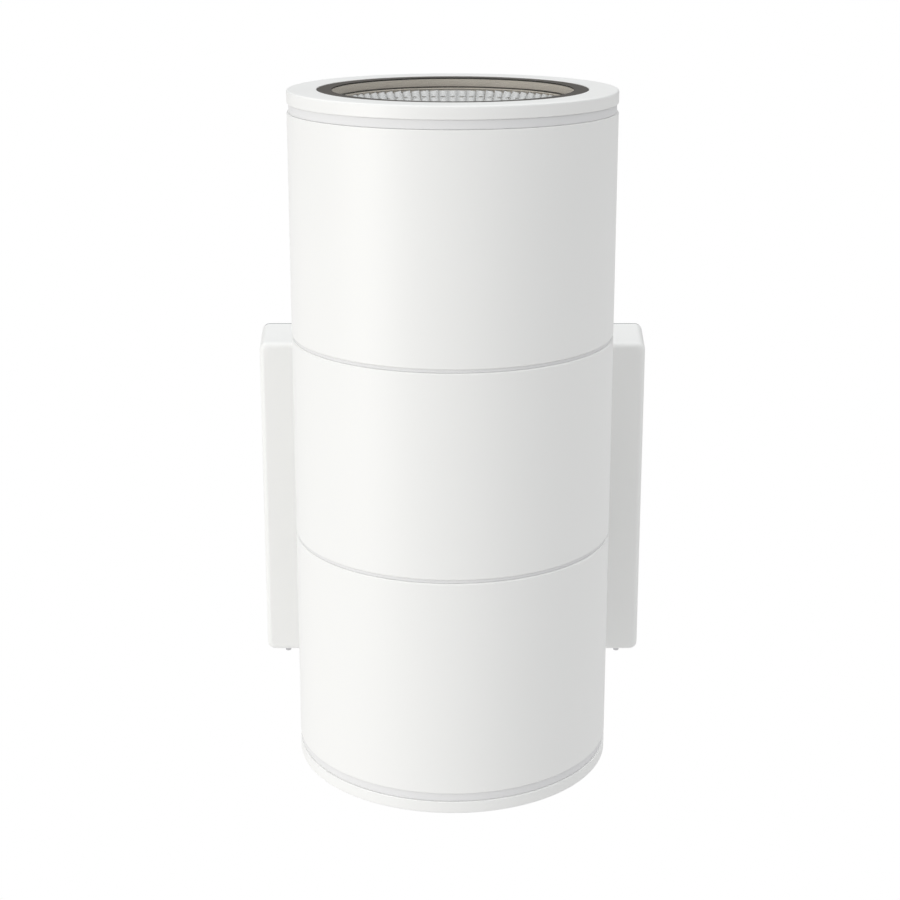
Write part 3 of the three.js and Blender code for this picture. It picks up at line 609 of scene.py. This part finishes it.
# each seal's piece name, inner radius, growth towards its neighbours, edge and finish
sealSizes = {"ring_gasket": ("RingGasket", 70.2, 0.16, 0.35, "greySilicone"),
             "seam_seal": ("SeamSeal", 70.2, 0.16, 0.25, "greySilicone"),
             "glass_border": ("GlassBorder", 54.7, 0, 0.12, "blackSilicone"),
             "glass_seal": ("GlassSeal", 53.3, 0.1, 0.08, "blackSilicone")}
sealBody = {"ring_gasket": "{}_gasket", "seam_seal": "fixture", "glass_border": "{}_ring",
            "glass_seal": "{}_ring"}
sealSlot = {"greySilicone": "grey_silicone", "blackSilicone": "black_silicone"}


def makeSeals(head):
    for node, (word, inner, grow, edge, finish) in sealSizes.items():
        mesh = moved(flatRing(word, inner, f"upper_{node}", grow, edge, finish), headPlace(head))
        piece(head + word, mesh, sealBody[node].format(head), sealSlot[finish], f"{head}_{node}")


seatSizes = {"bore": 54.7, "lip": 53.1, "lipThickness": 0.6, "edge": 0.2, "glassEdge": 0.3}


def makeGlass(head):
    s = seatSizes
    radius, top, bottom = spanOf("upper_glass")
    outline = supported(rounded([
        (0, -top, 0), (radius, -top, s["glassEdge"]), (radius, -bottom, s["glassEdge"]), (0, -bottom, 0)]))
    mesh = moved(finished(turned("glass", outline), "clearGlass"), headPlace(head))
    piece(f"{head}GlassDisc", mesh, f"{head}_ring", "clear_glass", f"{head}_glass")
    outer, top, bottom = spanOf("upper_glass_seat")
    lipTop = bottom - s["lipThickness"]
    outline = supported(rounded([
        (s["bore"], -top, s["edge"]), (outer, -top, s["edge"]), (outer, -bottom, s["edge"]),
        (s["lip"], -bottom, s["edge"]), (s["lip"], -lipTop, s["edge"]), (s["bore"], -lipTop, 0)]), 0.2)
    mesh = moved(finished(turned("seat", outline), "champagne"), headPlace(head))
    piece(f"{head}GlassSeat", mesh, f"{head}_ring", "champagne_band", f"{head}_glass_seat")


reflectorSizes = {"flutes": 72, "mouth": 53.5, "small": 10, "wall": 1.0, "hollow": 0.21, "rows": 22,
                  "across": 8, "rimDepth": 2.6, "rimThickness": 1.2, "rimWidth": 2.2}


def makeReflector(head):
    s = reflectorSizes
    rim, top, bottom = spanOf("upper_reflector")
    pitch = 2 * math.pi / s["flutes"]
    points, faces = [], []

    def surface(level, share, back):
        radius = s["small"] + (s["mouth"] - s["small"]) * math.sqrt(level)
        hollow = s["hollow"] * radius * pitch * (1 - (2 * share - 1) ** 2)
        radius += hollow + back
        angle = (share - 0.5) * pitch
        depth = bottom - level * (bottom - top)
        return (radius * math.cos(angle), radius * math.sin(angle), -depth)

    levels = [(k / s["rows"]) ** 1.6 for k in range(s["rows"] + 1)]
    wide = s["across"] + 1
    for back in (0, s["wall"]):
        for level in levels:
            points += [surface(level, k / s["across"], back) for k in range(wide)]
    side = wide * len(levels)
    for row in range(s["rows"]):
        for k in range(s["across"]):
            a = row * wide + k
            faces.append((a, a + wide, a + wide + 1, a + 1))
            faces.append((side + a, side + a + 1, side + a + wide + 1, side + a + wide))
    for k in range(s["across"]):  # closes the small end and the mouth
        faces.append((k, k + 1, side + k + 1, side + k))
        last = s["rows"] * wide + k
        faces.append((last, side + last, side + last + 1, last + 1))
    strip = meshFrom("flute", points, faces)
    shell = copiesOf("flutes", strip, s["flutes"], 0, 0, "mirrorAluminium")
    inner = s["mouth"] + s["wall"] * 0.6
    rimTop, rimEnd = top + s["rimDepth"], top + s["rimDepth"] + s["rimThickness"]
    flange = turned("rim", rounded([
        (inner, -rimTop, 0.2), (rim, -rimTop, 0.2), (rim, -rimEnd, 0.2),
        (inner - s["rimWidth"], -rimEnd, 0.2)], 2), 144)
    mesh = finished(joined("reflector", [shell, flange]), "mirrorAluminium", 22)
    piece(f"{head}FlutedReflector", moved(mesh, headPlace(head)), "fixture", "mirror_aluminium",
          f"{head}_reflector")


sinkSizes = {"base": 6, "fins": 12, "finThickness": 2.2, "finTaper": 0.7, "hub": 18, "screwDepth": 13}


def makeHeatSink(head):
    s, b = sinkSizes, bodySizes
    radius, top, bottom = spanOf("upper_heat_sink")
    plate = turned("sinkPlate", supported(rounded([
        (0, -top, 0), (radius, -top, 0.6), (radius, -top - s["base"], 0.6),
        (s["hub"], -top - s["base"], 1.5), (s["hub"], -bottom, 0.5), (0, -bottom, 0)], 4)), 120)
    holes = [moved(rod(b["leadHole"], -bottom, -top + 1), across(*b["leadHoleAt"]))]
    holes += [atAngle(rod(b["sinkHole"], -bottom - 1, -bottom + s["screwDepth"]), b["sinkHoleX"], a)
              for a in (0, math.pi)]
    plate = carved(finished(plate, "bareAluminium"), holes)
    finTop = top + s["base"] / 2
    half, tip, root = s["finThickness"] / 2, radius - 0.3, s["hub"] - 1
    tipHalf = half * s["finTaper"]
    section = rounded([(root, -half, 0), (tip, -tipHalf, 0.5), (tip, tipHalf, 0.5), (root, half, 0)], 3)
    n = len(section)
    points = [(x, y, -bottom) for x, y in section] + [(x, y, -finTop) for x, y in section]
    faces = [(k, (k + 1) % n, n + (k + 1) % n, n + k) for k in range(n)]
    faces += [tuple(range(n)), tuple(range(n, 2 * n))]
    fin = finished(meshFrom("fin", points, faces), "bareAluminium")
    firstAngle = math.pi / 2 + math.pi / s["fins"]
    fins = copiesOf("fins", fin, s["fins"], 0, firstAngle, "bareAluminium")
    mesh = moved(finished(joined("heatSink", [plate, fins]), "bareAluminium"), headPlace(head))
    piece(f"{head}HeatSink", mesh, "fixture", "bare_aluminium", f"{head}_heat_sink")


holderSizes = {"opening": 9.5, "lip": 1.6, "boardReach": 14.2, "dam": 0.9}


def makeHolder(head):
    s = holderSizes
    radius, top, bottom = spanOf("upper_led_holder")
    outline = supported(rounded([
        (s["opening"], -top - 0.5, 0.2), (s["opening"] + 2.5, -top, 0.6), (radius - 3, -top, 0.8),
        (radius, -top - 1.2, 0.6), (radius, -bottom, 0.3), (s["boardReach"], -bottom, 0.2),
        (s["boardReach"], -top - s["lip"], 0.2), (s["opening"], -top - s["lip"], 0.2)], 4))
    mesh = finished(turned("holder", outline, 96), "holderPlastic")
    mesh = moved(mesh, headPlace(head))
    piece(f"{head}LedHolder", mesh, "fixture", "holder_plastic", f"{head}_led_holder")
    radius, top, bottom = spanOf("upper_led_emitter")
    dam = radius - s["dam"]
    outline = rounded([
        (0, -top - 0.15, 0), (dam * 0.7, -top - 0.18, 0), (dam, -top - 0.3, 0.1), (dam, -top, 0.2),
        (radius, -top, 0.3), (radius, -bottom, 0.1), (0, -bottom, 0)], 4)
    mesh = moved(finished(turned("emitter", outline, 72), "phosphor"), headPlace(head))
    piece(f"{head}LedEmitter", mesh, "fixture", "phosphor", f"{head}_led_emitter")


for head in ("upper", "lower"):
    makeRing(head)
    makeSeals(head)
    makeGlass(head)
    makeReflector(head)
    makeHeatSink(head)
    makeHolder(head)
print("glass ends made")


boxSizes = {"width": 199, "height": 170, "depth": 38, "wall": 3, "corner": 4, "edge": 2.7, "draft": 0.055,
            "rimY": -1.6, "screwX": 89, "screwY": -31, "screwHole": 1.8, "edgeRows": 8}


def boxRing(inset, y, corner, parts=8):
    s = boxSizes
    lean = s["draft"] * (y + s["depth"])
    w, h = s["width"] / 2 - inset + lean, s["height"] / 2 - inset + lean
    return [(x, y, z) for x, z in roundedBox(2 * w, 2 * h, max(corner - inset, 0.4), parts=parts)]


def makeBox():
    s = boxSizes
    rings = [boxRing(0, s["rimY"], s["corner"]), boxRing(0, s["rimY"] - 0.4, s["corner"]),
             boxRing(0, -s["depth"] + s["edge"] + 0.4, s["corner"])]
    for k in range(s["edgeRows"] + 1):  # the rounding round the front face
        turn = math.pi / 2 * k / s["edgeRows"]
        inset = s["edge"] * (1 - math.cos(turn))
        y = -s["depth"] + s["edge"] * (1 - math.sin(turn))
        rings.append(boxRing(inset, y, s["corner"] + inset * 0.6))
    rings.append(boxRing(s["edge"] + 0.5, -s["depth"], s["corner"] + 1.6))
    inner = [boxRing(s["wall"], -s["depth"] + s["wall"], s["corner"]),
             boxRing(s["wall"], s["rimY"], s["corner"])]
    points, faces = [], []
    for ring in rings:
        points += ring
    n = len(rings[0])
    for row in range(len(rings) - 1):
        for k in range(n):
            a, b = row * n + k, row * n + (k + 1) % n
            faces.append((a, b, b + n, a + n))
    faces.append(tuple((len(rings) - 1) * n + k for k in range(n)))
    base = len(points)
    for ring in inner:
        points += ring
    for k in range(n):
        a, b = base + k, base + (k + 1) % n
        faces.append((a, b, b + n, a + n))
        faces.append((k, (k + 1) % n, base + n + (k + 1) % n, base + n + k))
    faces.append(tuple(base + k for k in range(n)))
    shell = finished(meshFrom("box", points, faces), "whitePaint", 40)
    holes = neckHoles(-30, -45)
    for side in (-1, 1):
        holes.append(moved(rod(s["screwHole"], -100, -79), across(side * s["screwX"], s["screwY"])))
    mesh = finished(carved(shell, holes), "whitePaint", 40)
    piece("wallBoxCasting", mesh, "fixture", "white_paint", "back_box")


# the saddle between the wall box and the cylinder, and its seal
neckSizes = {"width": 64, "height": 58, "corner": 8, "backY": -39.4, "frontY": -76.9, "hollow": 75.2,
             "sealWidth": 60, "sealHeight": 54, "sealBand": 4, "sealBackY": -38.2, "sealFrontY": -39.2}


def makeNeck():
    s = neckSizes
    block = outlineMesh("neck", roundedBox(s["width"], s["height"], s["corner"], 0, neckZ, 10), [],
                        s["backY"], s["frontY"], 0.4)
    barrel = moved(rod(s["hollow"], -120, 240, 224), toAxis)  # leaves the hollow that the cylinder lies in
    mesh = carved(finished(block, "whitePaint"), [barrel])
    mesh = carved(mesh, neckHoles(-30, -70))
    piece("saddleCasting", finished(mesh, "whitePaint", flatSharp), "fixture", "white_paint", "neck")
    inner = roundedBox(s["sealWidth"] - 2 * s["sealBand"], s["sealHeight"] - 2 * s["sealBand"], 4, 0, neckZ)
    seal = outlineMesh("neckSeal", roundedBox(s["sealWidth"], s["sealHeight"], s["corner"], 0, neckZ),
                       [inner], s["sealBackY"], s["sealFrontY"], 0.2)
    piece("saddleSeal", finished(seal, "blackSilicone", flatSharp), "fixture", "black_silicone", "neck_seal")


# the sheet on the wall, with two hooks at its top and two arms at its foot
plateSizes = {"width": 191, "height": 163, "corner": 5, "thickness": 2, "slot": (6, 14), "slotX": 80,
              "slotZ": 60, "cable": (-45, 42, 7.9), "earth": (42, 15, 2.3), "driverX": 63.5, "driverZ": -45,
              "screwHole": 1.8, "hookX": 55, "hookWidth": 16, "hookTop": 70, "armWidth": 12,
              "armReach": -34.5, "armZ": -80.25, "armThickness": 2.5}


def strip(name, x, width, path, thickness):
    # a bent strip: path is its middle line in Y and Z, and its width runs along X
    points, faces = [], []
    for k, (y, z) in enumerate(path):
        before, after = path[max(k - 1, 0)], path[min(k + 1, len(path) - 1)]
        along = (Vector(after) - Vector(before)).normalized()
        out = Vector((-along.y, along.x)) * thickness / 2
        for sx in (-1, 1):
            for st in (-1, 1):
                points.append((x + sx * width / 2, y + st * out.x, z + st * out.y))
    for k in range(len(path) - 1):
        a, b = 4 * k, 4 * k + 4
        for i, j in ((0, 1), (1, 3), (3, 2), (2, 0)):
            faces.append((a + i, a + j, b + j, b + i))
    last = 4 * (len(path) - 1)
    faces += [(0, 2, 3, 1), (last, last + 1, last + 3, last + 2)]
    return meshFrom(name, points, faces)


def makePlate():
    s = plateSizes
    holes = [roundedBox(*s["slot"], s["slot"][0] / 2, sx * s["slotX"], sz * s["slotZ"])
             for sx in (-1, 1) for sz in (-1, 1)]
    holes.append(circle(s["cable"][2], *s["cable"][:2]))
    holes.append(circle(s["earth"][2], *s["earth"][:2]))
    holes += [circle(s["screwHole"], side * s["driverX"], s["driverZ"]) for side in (-1, 1)]
    outline = roundedBox(s["width"], s["height"], s["corner"])
    parts = [outlineMesh("plate", outline, holes, 0, -s["thickness"], 0.2)]
    for side in (-1, 1):
        z = s["hookTop"] - 1
        bend = [(-1, z), (-10.6, z), (-12.0, z + 0.4), (-12.6, z + 1.0), (-13.0, z + 2.4), (-13.0, z + 9)]
        parts.append(strip("hook", side * s["hookX"], s["hookWidth"], bend, s["thickness"]))
        parts.append(strip("arm", side * boxSizes["screwX"], s["armWidth"],
                           [(-1, s["armZ"]), (s["armReach"], s["armZ"])], s["armThickness"]))
    mesh = finished(joined("plate", parts), "zincSteel", flatSharp)
    drill = [moved(rod(s["screwHole"], s["armZ"] - 3.75, s["armZ"] + 3.25),
                   across(side * boxSizes["screwX"], boxSizes["screwY"])) for side in (-1, 1)]
    mesh = finished(carved(mesh, drill), "zincSteel", flatSharp)
    piece("wallPlateSheet", mesh, "fixture", "zinc_steel", "wall_plate")


gasketSizes = {"corner": 4, "innerCorner": 1.6, "band": 2.4}


def makeBoxGasket():
    s = gasketSizes
    low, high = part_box("box_gasket")
    width, height = (high.x - low.x) / mm, (high.z - low.z) / mm
    inner = roundedBox(width - 2 * s["band"], height - 2 * s["band"], s["innerCorner"])
    outer = roundedBox(width, height, s["corner"])
    ring = outlineMesh("gasket", outer, [inner], high.y / mm, low.y / mm, 0.3)
    piece("boxGasket", finished(ring, "greyFoam", flatSharp), "fixture", "grey_foam", "box_gasket")


# a socket set screw, point up; six flats in its lower end
setScrewSizes = {"radius": 1.5, "low": -88, "high": -76, "socket": 0.8, "socketDepth": 1.5}


def makeSetScrews():
    s = setScrewSizes
    outline = rounded([(0, s["low"], 0), (s["radius"], s["low"], 0.35), (s["radius"], s["high"], 0.5),
                       (0, s["high"], 0)], 3)
    for side, word in ((-1, "left"), (1, "right")):
        place = across(side * boxSizes["screwX"], boxSizes["screwY"])
        body = finished(turned("setScrew", outline, 40), "stainless")
        socket = rod(s["socket"], s["low"] - 1, s["low"] + s["socketDepth"], 6)
        mesh = moved(finished(carved(body, [socket]), "stainless"), place)
        piece(f"setScrew_{word}", mesh, "fixture", "stainless", f"box_screw_{word}")


makeBox()
makeNeck()
makePlate()
makeBoxGasket()
makeSetScrews()
print("wall box made")


# what is inside the wall box
innerSizes = {"cable": 4.5, "grommetWall": 3.2, "flange": 3.3, "plate": 2.2, "terminalPoles": 3,
              "well": 2.4, "wellDepth": 8.3, "entry": 1.9, "entryDepth": 9, "spineBack": 0.9,
              "driverEdge": 1.2, "driverRib": 0.7, "earFlats": 2, "earReach": 3.5, "earHole": 1.8}


def facingOut(mesh, x, y, z):
    # turns a mesh built along Z to stand away from the wall
    return moved(mesh, across(x, y, z) @ Matrix.Rotation(math.pi / 2, 4, "X"))


def middleOf(node):
    low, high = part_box(node)
    return (low + high) / 2 / mm


def makeGrommet():
    s = innerSizes
    low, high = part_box("cable_grommet")
    length, top = (high.y - low.y) / mm, -high.y / mm
    outer, wide = s["cable"] + s["grommetWall"], s["cable"] + s["grommetWall"] + s["flange"]
    outline = supported(rounded([
        (s["cable"], top, 0.5), (outer, top, 0.4), (outer, s["plate"], 0.3), (wide, s["plate"], 0.8),
        (wide, s["plate"] + s["flange"], 1.2), (s["cable"] + s["grommetWall"] / 2, top + length, 0.6),
        (s["cable"], top + length, 0.5)], 4))
    centre = middleOf("cable_grommet")
    mesh = facingOut(finished(turned("grommet", outline, 96), "blackSilicone"), centre.x, 0, centre.z)
    piece("cableGrommetRubber", mesh, "fixture", "black_silicone", "cable_grommet")


def makeTerminals():
    s = innerSizes
    low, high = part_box("terminal_block")
    centre, width, height = middleOf("terminal_block"), (high.x - low.x) / mm, (high.z - low.z) / mm
    nearY, farY = high.y / mm, low.y / mm
    pitch = width / s["terminalPoles"]
    blocks, holes = [], []
    for k in range(s["terminalPoles"]):
        x = centre.x + (k - (s["terminalPoles"] - 1) / 2) * pitch
        blocks.append(outlineMesh("pole", roundedBox(pitch - 0.8, height, 0.8, x, centre.z), [],
                                  nearY, farY, 0.5))
        holes.append(rodOut(s["well"], farY - 1, farY + s["wellDepth"], x, centre.z, 32))
        entry = rod(s["entry"], centre.z - height, centre.z + height, 24)
        holes.append(moved(entry, across(x, farY + s["entryDepth"])))
    spine = outlineMesh("spine", roundedBox(width - 2, height - 4, 0.6, centre.x, centre.z), [],
                        nearY - s["spineBack"], (nearY + farY) / 2, 0.3)
    poles = finished(joined("poles", blocks), "terminalPlastic")
    body = carved(carved(poles, [finished(spine, "terminalPlastic")], "UNION"), holes)
    mesh = finished(body, "terminalPlastic", flatSharp)
    piece("terminalBlockBody", mesh, "fixture", "terminal_plastic", "terminal_block")


def makeDriver():
    s = innerSizes
    low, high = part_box("driver")
    centre = middleOf("driver")
    nearY, farY, height = high.y / mm, low.y / mm, (high.z - low.z) / mm
    screwX = middleOf("driver_screw_right").x
    length = 2 * (screwX - s["earReach"])
    body = outlineMesh("case", roundedBox(length, height, 5, 0, centre.z), [], nearY,
                       farY + s["driverRib"], s["driverEdge"])
    lid = outlineMesh("lid", roundedBox(length - 8, height - 8, 3, 0, centre.z), [], farY + 4, farY, 0.3)
    ears = outlineMesh("ears", roundedBox((high.x - low.x) / mm, height / 2, 5, 0, centre.z),
                       [circle(s["earHole"], side * screwX, centre.z, 24) for side in (-1, 1)],
                       nearY, nearY - s["earFlats"], 0.3)
    body = carved(finished(body, "blackPlastic"), [finished(lid, "blackPlastic")], "UNION")
    body = carved(body, [finished(ears, "blackPlastic")], "UNION")
    piece("driverCase", finished(body, "blackPlastic", flatSharp), "fixture", "driver_plastic", "driver")


def makeWallScrews():
    for word in ("left", "right"):
        low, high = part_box(f"driver_screw_{word}")
        centre = middleOf(f"driver_screw_{word}")
        length = (high.y - low.y) / mm - driverScrew["headHeight"]
        seat = low.y / mm + driverScrew["headHeight"]
        mesh = facingOut(screwMesh(driverScrew, length), centre.x, seat, centre.z)
        piece(f"driverScrew_{word}", mesh, "fixture", "stainless", f"driver_screw_{word}")
    low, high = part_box("earth_screw")
    centre = middleOf("earth_screw")
    mesh = screwMesh(earthScrew, (high.y - low.y) / mm - earthScrew["headHeight"], "brass")
    mesh = facingOut(mesh, centre.x, low.y / mm + earthScrew["headHeight"], centre.z)
    piece("earthTerminal", mesh, "fixture", "brass", "earth_screw")
    low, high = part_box("neck_bolt_lower")
    length = (high.y - low.y) / mm - neckBolt["headHeight"]
    seat = high.y / mm - neckBolt["headHeight"]
    turnIn = Matrix.Rotation(-math.pi / 2, 4, "X")
    for word, z in zip(("lower", "upper"), neckBoltZ):
        mesh = moved(screwMesh(neckBolt, length), across(0, seat, z) @ turnIn)
        piece(f"neckBolt_{word}", mesh, "fixture", "stainless", f"neck_bolt_{word}")


makeGrommet()
makeTerminals()
makeDriver()
makeWallScrews()
print("wiring made")


# finishes of the nodes, by their slots
nodeFinish = {"zinc_steel": "zincSteel", "stainless": "stainless", "brass": "brass",
              "white_paint": "whitePaint", "bare_aluminium": "bareAluminium",
              "mirror_aluminium": "mirrorAluminium", "champagne_band": "champagne",
              "black_silicone": "blackSilicone", "grey_silicone": "greySilicone", "grey_foam": "greyFoam",
              "driver_plastic": "blackPlastic", "lead_sheath": "leadSheath",
              "terminal_plastic": "terminalPlastic", "holder_plastic": "holderPlastic",
              "ceramic_board": "ceramic", "phosphor": "phosphor", "thermal_pad": "thermalPad",
              "clear_glass": "clearGlass"}
slotOf = {part["node"]: part["material_slot"] for part in frame["record"]["subparts"]}
for node, obj in frame["nodes"].items():
    obj.data.materials.clear()
    obj.data.materials.append(finishes[nodeFinish[slotOf[node]]])
print("node finishes set")


# powers in watts, sizes and places in metres
studio = {"floorZ": -0.7, "floorSize": 24, "floorGlow": 0.805, "skyLow": 0.0, "skyHigh": 1.38,
          "skyTint": (0.985, 0.995, 1.0, 1), "aim": (0, -0.11, 0.06), "key": 33, "keySize": 1.8,
          "keyPlace": (-2.35, -1.65, 0.1), "fill": 0.5, "fillSize": 1.6, "fillPlace": (2.2, -1.6, 0.9)}


def shownOver(tree, kind, output):
    # white to the camera, and a dimmer shader for the light that falls on the object
    out, rays = addNode(tree, output), addNode(tree, "ShaderNodeLightPath")
    dim, plain, mix = addNode(tree, kind), addNode(tree, kind), addNode(tree, "ShaderNodeMixShader")
    plain.inputs["Color"].default_value = (1, 1, 1, 1)
    plain.inputs["Strength"].default_value = 1.0
    tree.links.new(rays.outputs["Is Camera Ray"], mix.inputs[0])
    tree.links.new(dim.outputs[0], mix.inputs[1])
    tree.links.new(plain.outputs[0], mix.inputs[2])
    tree.links.new(mix.outputs[0], out.inputs["Surface"])
    return dim


def ramp(tree, value, fromLow, fromHigh, toLow, toHigh):
    node = addNode(tree, "ShaderNodeMapRange", interpolation_type="SMOOTHSTEP")
    tree.links.new(value, node.inputs["Value"])
    limits = {"From Min": fromLow, "From Max": fromHigh, "To Min": toLow, "To Max": toHigh}
    for label, number in limits.items():
        node.inputs[label].default_value = number
    return node.outputs["Result"]


def makeFloor():
    s = studio
    half = s["floorSize"] / 2
    corners = [(x, y, s["floorZ"]) for x, y in ((-half, -half), (half, -half), (half, half), (-half, half))]
    mesh = bpy.data.meshes.new("floor")
    mesh.from_pydata(corners, [], [(0, 1, 2, 3)])
    floor = bpy.data.objects.new("floor", mesh)
    bpy.context.scene.collection.objects.link(floor)
    paint = bpy.data.materials.new("paleFloor")
    paint.use_nodes = True
    paint.node_tree.nodes.clear()
    dim = shownOver(paint.node_tree, "ShaderNodeEmission", "ShaderNodeOutputMaterial")
    dim.inputs["Strength"].default_value = s["floorGlow"]
    mesh.materials.append(paint)


def makeSky():
    s = studio
    world = bpy.data.worlds.new("studioWorld")
    bpy.context.scene.world = world
    world.use_nodes = True
    tree = world.node_tree
    tree.nodes.clear()
    dim = shownOver(tree, "ShaderNodeBackground", "ShaderNodeOutputWorld")
    dim.inputs["Color"].default_value = s["skyTint"]
    way, parts = addNode(tree, "ShaderNodeTexCoord"), addNode(tree, "ShaderNodeSeparateXYZ")
    tree.links.new(way.outputs["Generated"], parts.inputs[0])
    sky = ramp(tree, parts.outputs["Z"], -0.1, 0.9, s["skyLow"], s["skyHigh"])
    # a black card low behind the light, for the glass to mirror
    behind = ramp(tree, parts.outputs["Y"], 0.80, 0.93, 0, 1)
    lowDown = ramp(tree, parts.outputs["Z"], 0.22, 0.42, 1, 0)
    keep = mathOf(tree, "SUBTRACT", 1.0, mathOf(tree, "MULTIPLY", behind, lowDown))
    tree.links.new(mathOf(tree, "MULTIPLY", sky, keep), dim.inputs["Strength"])


def makeLamps():
    s = studio
    for name, tint in (("key", (1.0, 0.985, 0.95)), ("fill", (0.93, 0.97, 1.0))):
        lamp = bpy.data.lights.new(f"{name}Light", "AREA")
        lamp.energy, lamp.size, lamp.color = s[name], s[f"{name}Size"], tint
        obj = bpy.data.objects.new(f"{name}Light", lamp)
        obj.location = s[f"{name}Place"]
        aim = Vector(s["aim"]) - Vector(s[f"{name}Place"])
        obj.rotation_euler = aim.to_track_quat("-Z", "Y").to_euler()
        bpy.context.scene.collection.objects.link(obj)
    bpy.context.scene.view_settings.view_transform = "Standard"


# place in millimetres, tilt in degrees
cameraSizes = {"place": (-1.2, -916.0, 300.3), "tiltDown": 14.9, "lens": 70.21, "shiftY": -0.08}


def makeCamera():
    s = cameraSizes
    lens = bpy.data.cameras.new("camera")
    lens.lens, lens.sensor_width, lens.shift_y = s["lens"], 36, s["shiftY"]
    lens.clip_start, lens.clip_end = 0.05, 60
    obj = bpy.data.objects.new("camera", lens)
    obj.location = Vector(s["place"]) * mm
    obj.rotation_euler = (math.radians(90 - s["tiltDown"]), 0, 0)
    bpy.context.scene.collection.objects.link(obj)
    bpy.context.scene.camera = obj


makeFloor()
makeSky()
makeLamps()
makeCamera()
print("floor, light and camera made")
